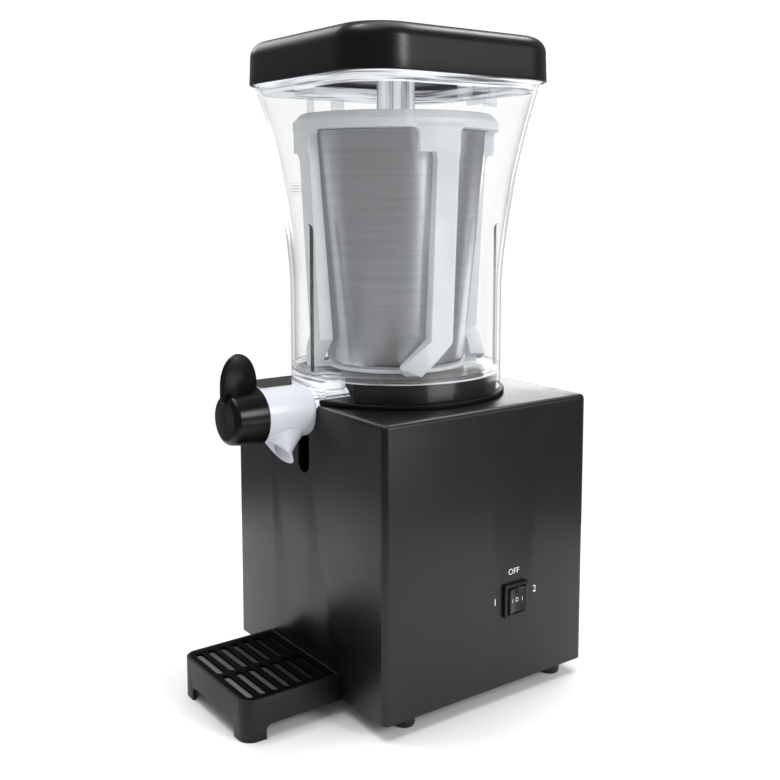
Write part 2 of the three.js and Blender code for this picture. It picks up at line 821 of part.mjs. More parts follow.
function tapBody() {
  const back = seatGap;
  const tube = rod(tapRadius, back, back + tapLength, roundSteps);
  const spigot = rod(spigotRadius, back - spigotLength, back + tapBackWall / 2, midSteps);
  const chamber = rod(tapBore, back + tapBackWall, back + tapLength + cutOver, roundSteps);
  const inlet = rod(spigotBore, back - spigotLength - cutOver, back + tapBackWall + cutOver, midSteps);
  const mouthCut = block(at(-tapLength, -tapLength, -tapLength * 2), at(tapLength, tapLength, 0));
  mouthCut.rotateX(-spoutSlant * degree).translate(0, -spoutForward, -spoutDrop);
  const funnel = toTap(cutBy(spoutFunnel(), mouthCut));
  const spoutHole = rod(spoutBore, -spoutDrop - spoutRadius * 2, 0, midSteps);
  spoutHole.translate(0, -spoutForward, 0);
  return cutBy(joined(tube, spigot, funnel), chamber, inlet, toTap(spoutHole));
}

function tapPlug() {
  const start = 2 * seatGap + tapBackWall;
  const end = seatGap + tapLength;
  const radius = tapBore - seatGap;
  const groove = end - grooveBack - grooveWidth;
  const body = turned([
    [0, end - plugFrontWall],
    [radius - plugWall, end - plugFrontWall],
    [radius - plugWall, start],
    [radius, start],
    [radius, groove],
    [radius - grooveDepth, groove],
    [radius - grooveDepth, groove + grooveWidth],
    [radius, groove + grooveWidth],
    [radius, end],
    [stemRadius, end],
    [stemRadius, end + stemLength],
    [0, end + stemLength],
  ]);
  const port = rod(plugPort, 0, tapRadius, midSteps).rotateY(quarter).translate(0, 0, spoutForward);
  return cutBy(body, port);
}

// A rubber ring of a round section
function sealRing(middleRadius, sectionRadius, middle) {
  const pairs = [];
  for (let i = 0; i <= filletSteps * 2; i++) {
    const angle = (i / (filletSteps * 2)) * 4 * quarter;
    pairs.push([
      middleRadius + sectionRadius * Math.cos(angle),
      middle + sectionRadius * Math.sin(angle),
    ]);
  }
  pairs[pairs.length - 1] = pairs[0];
  return turned(pairs);
}

function plugSeal() {
  const floor = tapBore - seatGap - grooveDepth;
  const section = (tapBore - floor) / 2 - seatGap / 2;
  const middle = seatGap + tapLength - grooveBack - grooveWidth / 2;
  return sealRing((tapBore + floor) / 2, section, middle);
}

function outletSeal() {
  return band(spigotRadius + seatGap, outletRadius - seatGap, -outletInset + seatGap, 0, midSteps);
}

function tapKnob() {
  const start = knobBack;
  const straight = start + knobLength;
  const pairs = [
    [stemRadius + seatGap, start],
    [knobRadius - seatGap, start],
    [knobRadius, start + seatGap],
  ];
  for (let i = 0; i <= filletSteps; i++) {
    const angle = (i / filletSteps) * quarter;
    pairs.push([
      knobFrontRadius - knobDome * (1 - Math.cos(angle)),
      straight + knobDome * Math.sin(angle),
    ]);
  }
  const boreEnd = seatGap + tapLength + stemLength + seatGap;
  pairs.push([0, straight + knobDome], [0, boreEnd]);
  pairs.push([stemRadius + seatGap, boreEnd], [stemRadius + seatGap, start]);
  return joined(turned(pairs), fin());
}

// The upright tongue that the knob is turned by, in the plane of the tap's axis
function fin() {
  const round = finWidth / 2;
  const start = knobBack + seatGap;
  const root = knobFrontRadius / 2;
  const shape = new THREE.Shape();
  shape.moveTo(start, root);
  shape.lineTo(start + finWidth - finToeRise, root);
  shape.lineTo(start + finWidth, root + finToeRise);
  shape.absarc(start + round, finRise - round, round, 0, 2 * quarter, false);
  return prism(shape, -finThickness / 2, finThickness / 2).rotateY(-quarter);
}

function gearboxCase() {
  const high = -gearboxDrop;
  const outline = roundRect(gearboxWidth, gearboxDepth, gearboxCorner);
  const hole = rod(shaftRadius + shaftRun, high - shaftDepth - seatGap, high + cutOver);
  return cutBy(prism(outline, high - gearboxHeight, high), hole);
}

function motorCan() {
  const high = -gearboxDrop - gearboxHeight - seatGap;
  const low = high - motorHeight;
  const round = motorCapHeight / 2;
  return turned([
    [0, low - motorCapHeight],
    [motorCapRadius, low - motorCapHeight],
    [motorCapRadius, low],
    [motorRadius - round, low],
    [motorRadius, low + round],
    [motorRadius, high],
    [0, high],
  ], midSteps).translate(0, motorBack, 0);
}

function motorBracket() {
  const high = -housingWall - seatGap;
  const low = high - bracketThickness;
  const side = collarScrewRing * Math.cos(quarter / 3) + bracketMargin;
  const front = -gearboxDepth / 2 - bracketMargin;
  const rear = collarScrewRing + bracketMargin;
  const outline = roundRect(2 * side, rear - front, gearboxCorner, 0, (rear + front) / 2);
  const standoffs = [];
  for (const sideways of [-1, 1]) {
    for (const along of [-1, 1]) {
      const x = sideways * (gearboxWidth / 2 - standoffRadius * 2);
      const y = along * (gearboxDepth / 2 - standoffRadius * 2);
      const standoff = rod(standoffRadius, -gearboxDrop + seatGap, low + bracketThickness / 2);
      standoffs.push(standoff.translate(x, y, 0));
    }
  }
  const holes = collarScrewPlaces().map(([x, y]) =>
    rod(screwRadius + seatGap, low - cutOver, high + cutOver).translate(x, y, 0),
  );
  const bushHole = rod(bushRadius + seatGap, low - cutOver, high + cutOver, midSteps);
  return cutBy(joined(prism(outline, low, high), ...standoffs), bushHole, ...holes);
}

function outputBush() {
  const seat = collarFlange + seatGap;
  const bore = shaftRadius + shaftRun;
  return turned([
    [bore, -bushDepth],
    [bushRadius, -bushDepth],
    [bushRadius, seat],
    [bushFlangeRadius, seat],
    [bushFlangeRadius, seat + bushFlange],
    [bore, seat + bushFlange],
    [bore, -bushDepth],
  ], midSteps);
}

// The lobed outline that passes the drive on, grown by a clearance
function lobes(grow) {
  const shape = new THREE.Shape();
  const count = lobeCount * filletSteps * 2;
  for (let i = 0; i < count; i++) {
    const angle = (i / count) * 4 * quarter;
    const wave = (1 + Math.cos(lobeCount * angle)) / 2;
    const reach = lobeRadius - lobeDepth * (1 - wave) + grow;
    const x = reach * Math.cos(angle);
    const y = reach * Math.sin(angle);
    if (i === 0) {
      shape.moveTo(x, y);
    } else {
      shape.lineTo(x, y);
    }
  }
  return shape;
}

function driveShaft() {
  const low = -gearboxDrop - shaftDepth;
  return rod(shaftRadius, low, couplerTop - shaftRadius);
}

function driveCoupler() {
  const boreEnd = couplerTop - shaftRadius + seatGap;
  const bore = rod(shaftRadius + shaftRun / 2, couplerLow - cutOver, boreEnd);
  return cutBy(prism(lobes(0), couplerLow, couplerTop), bore);
}

function drivenCoupler() {
  const cup = rod(cupRadius, couplerLow, cupCeiling + cupRoof, midSteps);
  const star = prism(lobes(lobeClear), couplerLow - cutOver, cupCeiling);
  const hole = rod(shaftRadius + shaftRun / 2, cupCeiling - cutOver, cupCeiling + cupRoof + cutOver);
  return cutBy(cup, star, hole);
}

// A six-sided prism
function hexagon(radius, low, high) {
  return rod(radius, low, high, 6);
}

function jugShaft() {
  const round = rod(shaftRadius, cupCeiling + seatGap, paddleRoof);
  return joined(round, hexagon(hexRadius, paddleRoof - washerThickness / 2, hexTop - seatGap));
}

function floorSeal() {
  return band(shaftRadius + shaftRun, sealRadius, floorLow, hubTop - hubLip - seatGap, midSteps);
}

function thrustWasher() {
  return band(hexRadius + hexClear, hubRadius, washerLow, washerLow + washerThickness, midSteps);
}

// One level of a bar: an arc-shaped section between two reaches along its outer face
function barSection(left, right, inner, outer) {
  const ring = [];
  for (let i = 0; i <= barSteps; i++) {
    const share = i / barSteps;
    const angle = (left.reach + (right.reach - left.reach) * share) / outer;
    const z = left.z + (right.z - left.z) * share;
    ring.push(at(outer * Math.cos(angle), outer * Math.sin(angle), z));
  }
  for (let i = barSteps; i >= 0; i--) {
    const share = i / barSteps;
    const angle = (left.reach + (right.reach - left.reach) * share) / outer;
    const z = left.z + (right.z - left.z) * share;
    ring.push(at(inner * Math.cos(angle), inner * Math.sin(angle), z));
  }
  return ring;
}

// A bar's outer and inner radius at a height
function barRadii(z) {
  const share = (z - barLow) / (ringLow - barLow);
  return {
    outer: barLowRadius + (barTopRadius - barLowRadius) * share,
    inner: barLowRadius - barDepth + (ringInner - barLowRadius + barDepth) * share,
  };
}

// A bar of the cage: the slanted foot, the plain bar and the wide top with its fillets
function paddleBar() {
  const half = barWidth / 2;
  const heel = toeReach - barWidth + barFillet / 2;
  const rings = [];
  const level = (leftReach, leftZ, rightReach, rightZ, wide = 0) => {
    const { inner, outer } = barRadii(Math.max((leftZ + rightZ) / 2, barLow));
    const reachOut = outer + (ringRadius - outer) * wide;
    const left = { reach: leftReach, z: leftZ };
    const right = { reach: rightReach, z: rightZ };
    rings.push(barSection(left, right, inner, reachOut));
  };
  const tabLow = ringLow - tabHeight;
  const ringMiddle = (ringLow + ringShoulder) / 2;
  level(-toeReach, paddleLow + toeRise, -heel, paddleLow);
  level(-half, barLow + half / 4, half, barLow);
  level(-half, tabLow - barFillet, half, tabLow - barFillet);
  level(-half - barFillet / 3, tabLow - seatGap, half, tabLow - seatGap, 1);
  level(-tabReach, tabLow, half, tabLow, 1);
  for (let i = 0; i <= filletSteps; i++) {
    const angle = (i / filletSteps) * quarter;
    const grow = barFillet * (1 - Math.cos(angle));
    const z = ringLow - barFillet * (1 - Math.sin(angle));
    level(-tabReach - grow, z, half + grow, z, 1);
  }
  level(-tabReach - barFillet, ringMiddle, half + barFillet, ringMiddle, 1);
  return loft(rings);
}

// An arm of the paddle's base, under the toe of one bar
function paddleArm() {
  const angle = -(toeReach - barWidth + armWidth / 2) / barLowRadius;
  const arm = block(
    at(paddleHubInner + paddleHubWall / 2, -armWidth / 2, paddleLow),
    at(barLowRadius - barDepth / 2, armWidth / 2, paddleLow + baseThickness),
  );
  return arm.rotateZ(angle);
}

function paddleCage() {
  const ring = turned([
    [ringInner, ringLow],
    [ringRadius, ringLow],
    [ringRadius, ringShoulder],
    [ringRadius - ringChamfer, ringHigh],
    [ringInner, ringHigh],
    [ringInner, ringLow],
  ]);
  const hub = rod(paddleHubRadius, paddleLow, paddleRoof + paddleHubWall, midSteps);
  const drum = rod(hexRadius + paddleHubWall, paddleRoof, hexTop, midSteps);
  const baseRing = band(coreLowRadius - baseRingWidth, coreLowRadius, paddleLow, paddleLow + baseThickness);
  const pieces = [hub, drum, baseRing];
  for (let i = 0; i < barCount; i++) {
    const turn = (i / barCount) * 4 * quarter;
    pieces.push(paddleBar().rotateZ(turn), paddleArm().rotateZ(turn));
  }
  const pivotHole = rod(paddleHubInner, paddleLow - cutOver, paddleRoof, midSteps);
  const socket = hexagon(hexRadius + hexClear, paddleRoof - cutOver, hexTop + cutOver);
  return cutBy(joined(ring, ...pieces), pivotHole, socket);
}

// The core's outer radius at a height
function coreRadius(z) {
  return coreLowRadius + ((coreTopRadius - coreLowRadius) * (z - coreLow)) / (coreTop - coreLow);
}

function iceCore() {
  const roof = puntTop + coreWall;
  return turned([
    [0, puntTop],
    [puntRadius - puntClear, puntTop],
    [puntRadius, puntTop - puntClear],
    [puntRadius, coreLow],
    [coreLowRadius - coreEdge, coreLow],
    [coreRadius(coreLow + coreEdge), coreLow + coreEdge],
    [coreTopRadius, coreTop],
    [coreTopRadius - coreWall, coreTop],
    [coreRadius(coreLow + coreEdge) - coreWall, coreLow + coreEdge + coreWall / 2],
    [coreLowRadius - coreEdge - coreWall / 2, coreLow + coreWall],
    [puntRadius + coreWall, coreLow + coreWall],
    [puntRadius + coreWall, roof],
    [0, roof],
  ]);
}

function coreGasket() {
  const outer = coreTopRadius;
  return band(outer - gasketWidth, outer, gasketLow, gasketLow + gasketThickness);
}

function coreCap() {
  const plugOuter = coreTopRadius - gasketWidth - seatGap;
  const socketInner = postRadius + seatGap;
  const socketTop = capTop + socketRise;
  return turned([
    [0, capLow],
    [plugOuter - capPlugWall, capLow],
    [plugOuter - capPlugWall, capLow - capPlugDepth],
    [plugOuter - capPlugLead, capLow - capPlugDepth],
    [plugOuter, gasketLow],
    [plugOuter, capLow],
    [capFlangeRadius, capLow],
    [capFlangeRadius, capTop],
    [socketInner + socketWall, capTop],
    [socketInner + socketWall, socketTop],
    [socketInner, socketTop],
    [socketInner, capTop],
    [0, capTop],
  ]);
}

function centrePost() {
  const shape = new THREE.Shape();
  const count = fluteCount * fluteSteps;
  for (let i = 0; i < count; i++) {
    const angle = (i / count) * 4 * quarter;
    const groove = Math.max(0, -Math.cos(fluteCount * angle));
    const reach = postRadius - fluteDepth * groove;
    const x = reach * Math.cos(angle);
    const y = reach * Math.sin(angle);
    if (i === 0) {
      shape.moveTo(x, y);
    } else {
      shape.lineTo(x, y);
    }
  }
  const low = capTop + seatGap;
  const high = linerPlate - seatGap;
  const bore = rod(postRadius - postWall, low - cutOver, high + cutOver, midSteps);
  return cutBy(prism(shape, low, high), bore);
}

// The liner's outline inside the jug's mouth at a height
const plugRing = (height, inset) => jugRing(height, jugWall + linerClear + inset);

function lidLiner() {
  const low = jugHeight - linerPlug;
  const flangeHalf = lidHalf - lidWall - seatGap * 2;
  const flangeCorner = jugTopCorner - lidWall;
  const upperHalf = flangeHalf - linerStep;
  const upperCorner = flangeCorner - linerStep;
  const plateTop = linerPlate + linerWall;
  const outside = loft([
    plugRing(low, 0),
    plugRing(jugHeight, 0).map((p) => at(p.x, p.y, flangeLow)),
    squareRing(flangeHalf, flangeCorner, flangeLow),
    squareRing(flangeHalf, flangeCorner, flangeTop),
    squareRing(upperHalf, upperCorner, flangeTop),
    squareRing(upperHalf, upperCorner, plateTop),
  ]);
  const hollow = loft([
    plugRing(low, linerWall).map((p) => at(p.x, p.y, low - cutOver)),
    squareRing(upperHalf - linerWall, upperCorner - linerWall, flangeLow),
    squareRing(upperHalf - linerWall, upperCorner - linerWall, linerPlate),
  ]);
  return joined(cutBy(outside, hollow), ...linerLugs(low));
}

// The lugs at the front and back and the hooks at the sides, under the liner's lower edge
function linerLugs(low) {
  const face = jugTopHalf - jugWall - linerClear - linerWall;
  const root = low + linerWall;
  const pieces = [];
  for (const side of [0, 2 * quarter]) {
    const lugLow = at(-lugWidth / 2, -face, low - lugHeight);
    const lug = block(lugLow, at(lugWidth / 2, lugThickness - face, root));
    const tab = block(at(face - lugThickness, -hookWidth, low - lugHeight * 2), at(face, hookWidth, root));
    const stalk = block(
      at(face - lugThickness, hookSpread, low - hookLength),
      at(face, hookSpread + hookWidth, root),
    );
    const toe = block(
      at(face - lugThickness, hookSpread - hookToe, low - hookLength),
      at(face, hookSpread + hookWidth, low - hookLength + lugThickness),
    );
    for (const piece of [lug, tab, joined(stalk, toe)]) {
      pieces.push(piece.rotateZ(side));
    }
  }
  return pieces;
}

// The lid's skin from its rim over the shoulder to the dome, drawn in by an inset
function lidBody(low, inset) {
  const topHalf = lidHalf - lidTaper - inset;
  const topCorner = jugTopCorner - lidTaper - inset;
  const round = lidRound - inset;
  const shoulder = jugHeight + lidSide;
  const rings = [squareRing(lidHalf - inset, jugTopCorner - inset, low)];
  for (let i = 0; i <= filletSteps; i++) {
    const angle = (i / filletSteps) * quarter;
    const draw = round * (1 - Math.cos(angle));
    rings.push(squareRing(topHalf - draw, topCorner - draw, shoulder + round * Math.sin(angle)));
  }
  for (let i = 1; i <= domeLevels; i++) {
    const share = i / domeLevels;
    const inward = 1 - share * (1 - domeFlatShare);
    const height = shoulder + round + lidDome * (1 - (1 - share) ** 2);
    rings.push(squareRing((topHalf - round) * inward, (topCorner - round) * inward, height));
  }
  return loft(rings);
}

function lidCover() {
  const shelf = flangeTop + seatGap;
  const hollow = lidBody(shelf, lidWall + linerFlange);
  const recess = loft([
    squareRing(lidHalf - lidWall, jugTopCorner - lidWall, jugHeight - cutOver),
    squareRing(lidHalf - lidWall, jugTopCorner - lidWall, shelf + seatGap),
  ]);
  return cutBy(lidBody(jugHeight, 0), hollow, recess);
}

// An arch under the tray's skirt, with round upper corners, that runs along Y through the origin
function arch(width, length) {
  const shape = roundRect(width, archHeight * 2, archRound);
  return prism(shape, -length / 2, length / 2).rotateX(quarter);
}

// The tray's outline: square at the housing, round at the front
function trayOutline(inset) {
  const half = trayWidth / 2 - inset;
  const back = trayBack - inset;
  const front = trayBack - trayLength + inset;
  const radius = Math.max(trayCorner - inset, trayCorner / 4);
  const shape = new THREE.Shape();
  shape.moveTo(half, back);
  shape.lineTo(-half, back);
  shape.absarc(-half + radius, front + radius, radius, 2 * quarter, 3 * quarter, false);
  shape.absarc(half - radius, front + radius, radius, 3 * quarter, 4 * quarter, false);
  return shape;
}

function dripTray() {
  const floorHigh = trayFloorRise + trayFloor;
  const ledgeZ = trayTop - seatGap * 2 - grilleThickness;
  const skirt = prism(trayOutline(0), 0, trayTop);
  const under = prism(trayOutline(trayWall), -cutOver, trayFloorRise);
  const basin = prism(trayOutline(trayWall + ledgeWidth), floorHigh, trayTop + cutOver);
  const recess = prism(trayOutline(trayWall), ledgeZ, trayTop + cutOver);
  const front = trayBack - trayLength;
  const frontArch = arch(trayWidth - 2 * trayLeg, trayCorner).translate(0, front, 0);
  const sideLength = 2 * (trayLength - trayLeg);
  const sideArch = arch(sideLength, trayWidth + 2 * cutOver).rotateZ(quarter).translate(0, trayBack, 0);
  const body = cutBy(skirt, under, basin, recess, frontArch, sideArch);
  return joined(body, tongue(-1, 0), tongue(1, 0));
}

function dripGrille() {
  const outline = trayOutline(trayWall + seatGap);
  const columnPitch = slotLength + slotBridge;
  const middle = trayBack - trayLength / 2;
  for (let row = 0; row < slotRows; row++) {
    for (let column = 0; column < slotColumns; column++) {
      const x = (column - (slotColumns - 1) / 2) * columnPitch;
      const y = middle + (row - (slotRows - 1) / 2) * slotPitch;
      outline.holes.push(roundRect(slotLength, slotWidth, slotWidth / 2, x, y));
    }
  }
  const high = trayTop - seatGap;
  return prism(outline, high - grilleThickness, high);
}

// A rectangular sleeve along Z
function sleeve(width, height, corner, wall, low, high) {
  const outer = prism(roundRect(width, height, corner), low, high);
  const inner = block(
    at(wall - width / 2, wall - height / 2, low - cutOver),
    at(width / 2 - wall, height / 2 - wall, high + cutOver),
  );
  return cutBy(outer, inner);
}

// The switch's casing, in its frame: bezel outside, walls and back inside
function switchCasing() {
  const innerWidth = bezelWidth - 2 * bezelRim;
  const innerHeight = bezelHeight - 2 * bezelRim;
  const bezel = sleeve(bezelWidth, bezelHeight, bezelCorner, bezelRim, seatGap, bezelProud);
  const bodyWidth = innerWidth + 2 * switchWall;
  const bodyHeight = innerHeight + 2 * switchWall;
  const walls = sleeve(bodyWidth, bodyHeight, bezelCorner / 2, switchWall, -switchDepth, bezelProud / 2);
  const back = block(
    at(-bodyWidth / 2 + switchWall / 2, -bodyHeight / 2 + switchWall / 2, -switchDepth),
    at(bodyWidth / 2 - switchWall / 2, bodyHeight / 2 - switchWall / 2, switchBackWall - switchDepth),
  );
  const holeEnd = bezelHeight / 2 - bezelRim / 2;
  const pinHole = rod(pinRadius + shaftRun / 2, -holeEnd, holeEnd);
  pinHole.rotateX(quarter).translate(0, 0, bezelProud - rockerPivot);
  const slits = terminalPlaces().map((x) => terminal(x, seatGap));
  return cutBy(joined(bezel, walls, back), pinHole, ...slits);
}

// The terminals' places along the switch
function terminalPlaces() {
  const places = [];
  for (let i = 0; i < terminalCount; i++) {
    places.push((i - (terminalCount - 1) / 2) * terminalPitch);
  }
  return places;
}

// A blade through the switch's back, or with a clearance its slit
function terminal(x, space) {
  const outEnd = -switchDepth - terminalLength;
  return block(
    at(x - terminalThickness / 2 - space, -terminalWidth / 2 - space, outEnd),
    at(x + terminalThickness / 2 + space, terminalWidth / 2 + space, -switchDepth + switchBackWall + space),
  );
}

// The rocker: a slab with a dished face and round sides about its pivot, and a pin through it
function switchRocker() {
  const radius = bezelWidth / 2 - bezelRim - seatGap;
  const pivot = bezelProud - rockerPivot;
  const endRise = rockerPivot + rockerProud;
  const endAngle = Math.asin(endRise / radius);
  const backAngle = Math.asin(rockerBack / radius);
  const shape = new THREE.Shape();
  shape.absarc(0, 0, radius, -backAngle, endAngle, false);
  shape.lineTo(0, endRise - rockerDish);
  shape.absarc(0, 0, radius, 2 * quarter - endAngle, 2 * quarter + backAngle, false);
  const half = bezelHeight / 2 - bezelRim - rockerSide;
  const slab = prism(shape, -half, half).rotateX(-quarter);
  const reach = bezelHeight / 2 - bezelRim / 2 - seatGap;
  const pin = rod(pinRadius, -reach, reach).rotateX(quarter);
  const mirrored = slab.rotateX(2 * quarter);
  return joined(mirrored, pin).translate(0, 0, pivot);
}

function cordGland() {
  const body = rod(glandRadius, -housingWall - glandTail, seatGap + glandFlange / 2, midSteps);
  const flange = rod(glandFlangeRadius, seatGap, seatGap + glandFlange, midSteps);
  const bore = rod(glandBore, -housingWall - glandTail - cutOver, glandFlange + cutOver);
  const gland = cutBy(joined(body, flange), bore);
  return gland.rotateX(-quarter).translate(-glandSide, backY, footHeight + glandRise);
}

// Pieces fixed to the housing
place(machine, "housing_shell", housingShell(), satinBlack);
place(machine, "bottom_plate", bottomPlate(), satinBlack);
for (const [name, x, y] of footPlaces) {
  const screwTip = plateLow + plateThickness + screwReach;
  place(machine, `foot_${name}`, foot().translate(x, y, 0), rubberBlack);
  const headTop = screwHeadRise + screwHeadHeight;
  place(machine, `foot_screw_${name}`, screw(screwHeadRise, headTop, screwTip).translate(x, y, 0), zinc);
}
place(machine, "cord_gland", cordGland(), rubberBlack);
place(jugFrame, "seat_collar", seatCollar(), glossBlack);
collarScrewPlaces().forEach(([x, y], i) => {
  const seat = collarFlange + seatGap;
  const collarScrew = screw(seat, seat + screwHeadHeight, -housingWall - screwReach);
  place(jugFrame, `collar_screw_${i + 1}`, collarScrew.translate(x, y, 0), zinc);
});
place(jugFrame, "gearbox_case", gearboxCase(), zinc);
place(jugFrame, "motor_can", motorCan(), zinc);
place(jugFrame, "motor_bracket", motorBracket(), zinc);
place(jugFrame, "output_bush", outputBush(), brass);
place(switchFrame, "switch_casing", switchCasing(), glossBlack);
terminalPlaces().forEach((x, i) => {
  place(switchFrame, `switch_terminal_${i + 1}`, terminal(x, 0), brass);
});

// The switch's rocker and the drive
place(switchFrame, "switch_rocker", switchRocker(), glossBlack);
place(jugFrame, "drive_shaft", driveShaft(), steel);
place(jugFrame, "drive_coupler", driveCoupler(), glossBlack);

// Jug with its tap
place(jugFrame, "jug_shell", jugShell(), clear);
place(jugFrame, "floor_seal", floorSeal(), silicone);
place(jugFrame, "jug_shaft", jugShaft(), steel);
place(jugFrame, "driven_coupler", drivenCoupler(), glossBlack);
place(tapFrame, "outlet_seal", outletSeal(), silicone);
place(tapFrame, "tap_body", tapBody(), white);
place(tapFrame, "tap_plug", tapPlug(), white);
place(tapFrame, "plug_seal", plugSeal(), rubberBlack);
place(tapFrame, "tap_knob", tapKnob(), glossBlack);

// Paddle, ice core and lid
place(jugFrame, "thrust_washer", thrustWasher(), white);
place(jugFrame, "paddle_cage", paddleCage().rotateZ(paddleTurn * degree), frosted);
place(jugFrame, "ice_core", iceCore(), steel);
place(jugFrame, "core_gasket", coreGasket(), silicone);
place(jugFrame, "core_cap", coreCap(), white);
place(jugFrame, "centre_post", centrePost(), clear);
place(jugFrame, "lid_liner", lidLiner(), clear);
place(jugFrame, "lid_cover", lidCover(), glossBlack);

// Drip tray
place(machine, "drip_tray", dripTray(), satinBlack);
place(machine, "drip_grille", dripGrille(), glossBlack);

export default machine;
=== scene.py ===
import math

import bpy
import numpy as np
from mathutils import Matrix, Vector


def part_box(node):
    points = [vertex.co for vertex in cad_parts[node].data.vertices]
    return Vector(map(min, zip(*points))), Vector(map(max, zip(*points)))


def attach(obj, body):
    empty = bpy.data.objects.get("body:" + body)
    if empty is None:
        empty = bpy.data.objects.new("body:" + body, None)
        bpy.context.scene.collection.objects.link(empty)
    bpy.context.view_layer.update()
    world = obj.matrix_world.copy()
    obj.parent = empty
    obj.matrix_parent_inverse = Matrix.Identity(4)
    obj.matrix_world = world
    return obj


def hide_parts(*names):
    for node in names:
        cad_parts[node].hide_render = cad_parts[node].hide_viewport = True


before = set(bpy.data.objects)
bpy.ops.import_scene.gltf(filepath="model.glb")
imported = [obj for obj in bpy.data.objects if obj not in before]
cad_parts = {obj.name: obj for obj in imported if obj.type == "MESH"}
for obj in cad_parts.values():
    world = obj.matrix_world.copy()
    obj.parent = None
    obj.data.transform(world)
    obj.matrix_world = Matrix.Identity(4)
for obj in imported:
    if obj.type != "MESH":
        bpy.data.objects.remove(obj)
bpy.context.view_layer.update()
mm = 0.001
quarter = math.pi / 2
print("frame loaded:", len(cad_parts), "nodes")


# Places, in millimetres
def nodeBox(name):  # a node's corners
    low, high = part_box(name)
    return np.array(low) / mm, np.array(high) / mm


housingLow, housingHigh = nodeBox("housing_shell")
coreLow, coreHigh = nodeBox("ice_core")
bezelLow, bezelHigh = nodeBox("switch_casing")
trayLow, trayHigh = nodeBox("drip_tray")
tapDrop = 6.0  # the tap's axis is this far below the housing's top

jugPlace = np.array([(coreLow[0] + coreHigh[0]) / 2, (coreLow[1] + coreHigh[1]) / 2, housingHigh[2]])
tapPlace = np.array([jugPlace[0], housingLow[1], housingHigh[2] - tapDrop])
switchPlace = np.array([housingHigh[0], (bezelLow[1] + bezelHigh[1]) / 2, (bezelLow[2] + bezelHigh[2]) / 2])
trayPlace = np.array([jugPlace[0], housingLow[1] - 0.3, 0])
upright = np.eye(3)
towardFront = np.array([[1, 0, 0], [0, 0, 1], [0, -1, 0]])  # x stays, y goes up, z comes out of the front
towardSide = np.array([[0, 1, 0], [0, 0, 1], [1, 0, 0]])  # x goes back, y goes up, z comes out of the side


# Surfaces
# A shell from a grid of points: each row is a ring, and quads join a row to the next.
# Points that fall together are made one, so that a row of one point is a closed pole.
def shell(rows, closeRows=False, capEnds=False):
    rows = np.asarray(rows, float)
    rowCount, columnCount = rows.shape[:2]
    i, j = np.meshgrid(np.arange(rowCount - (not closeRows)), np.arange(columnCount), indexing="ij")
    nextRow, nextColumn = (i + 1) % rowCount, (j + 1) % columnCount
    quads = np.stack([i * columnCount + j, i * columnCount + nextColumn,
                      nextRow * columnCount + nextColumn, nextRow * columnCount + j], -1).reshape(-1, 4)
    points = rows.reshape(-1, 3)
    _, first, place = np.unique(np.round(points, 4), axis=0, return_index=True, return_inverse=True)
    place = place.reshape(-1)
    faces = place[quads]
    repeated = faces == np.roll(faces, -1, axis=1)
    count = repeated.sum(axis=1)
    made = faces[count == 0].tolist() + faces[count == 1][~repeated[count == 1]].reshape(-1, 3).tolist()
    if capEnds:
        made += [place[:columnCount][::-1].tolist(), place[-columnCount:].tolist()]
    return points[first], made


# A shell moved, and turned about the upright axis by an angle in degrees
def moved(part, x=0, y=0, z=0, turn=0):
    points, faces = part
    c, s = math.cos(math.radians(turn)), math.sin(math.radians(turn))
    return points @ np.array([[c, s, 0], [-s, c, 0], [0, 0, 1]]) + [x, y, z], faces


def faced(part, turn, place=(0, 0, 0)):  # a shell turned toward the front or the side, then moved
    return part[0] @ turn + np.asarray(place, float), part[1]


# A profile with round corners: each corner gives way to the curve
# (1-t)^2 A + 2t(1-t) C + t^2 B between the points A and B that lie 'radius' from the corner C
def softened(corners, radius, steps=4, closed=True):
    corners = np.asarray(corners, float)
    radius = np.broadcast_to(np.asarray(radius, float), len(corners)).copy()
    if not closed:
        radius[[0, -1]] = 0
    before, after = np.roll(corners, 1, 0) - corners, np.roll(corners, -1, 0) - corners
    beforeLength, afterLength = np.linalg.norm(before, axis=1), np.linalg.norm(after, axis=1)
    reach = np.minimum(radius, 0.48 * np.minimum(beforeLength, afterLength))
    a = corners + before * (reach / np.maximum(beforeLength, 1e-9))[:, None]
    b = corners + after * (reach / np.maximum(afterLength, 1e-9))[:, None]
    t = np.linspace(0, 1, steps + 1)[None, :, None]
    curve = (1 - t) ** 2 * a[:, None] + 2 * t * (1 - t) * corners[:, None] + t ** 2 * b[:, None]
    points = curve.reshape(-1, 2)
    fresh = np.r_[True, np.linalg.norm(np.diff(points, axis=0), axis=1) > 1e-4]
    return points[fresh]


def onCircle(radius, angle, x=0, y=0):  # x + r cos a, y + r sin a
    return np.stack([x + radius * np.cos(angle), y + radius * np.sin(angle)], -1)


# A profile of radius and height turned about an upright axis: x = r cos a, y = r sin a, z = height
def lathe(profile, steps=128, closed=True):
    r, z = np.asarray(profile, float).T
    angle = np.linspace(0, 4 * quarter, steps, endpoint=False)
    rows = np.stack([r[:, None] * np.cos(angle), r[:, None] * np.sin(angle), z[:, None] + 0 * angle], -1)
    return shell(rows, closeRows=closed)


def turned(corners, rounding, steps, closed=True, arcSteps=4):  # a profile with round corners, turned
    return lathe(softened(corners, rounding, arcSteps, closed), steps, closed)


def boxCorners(inner, outer, low, high):  # a profile with four corners
    return [(inner, low), (outer, low), (outer, high), (inner, high)]


# A closed profile of radius and height carried round from one angle to another, with flat ends
def arcSweep(profile, start, end, steps=64):
    r, z = np.asarray(profile, float).T
    angle = np.radians(np.linspace(start, end, steps))[:, None]
    rows = np.stack([r * np.cos(angle), r * np.sin(angle), z + 0 * angle], -1)
    return shell(rows[::-1], capEnds=True)


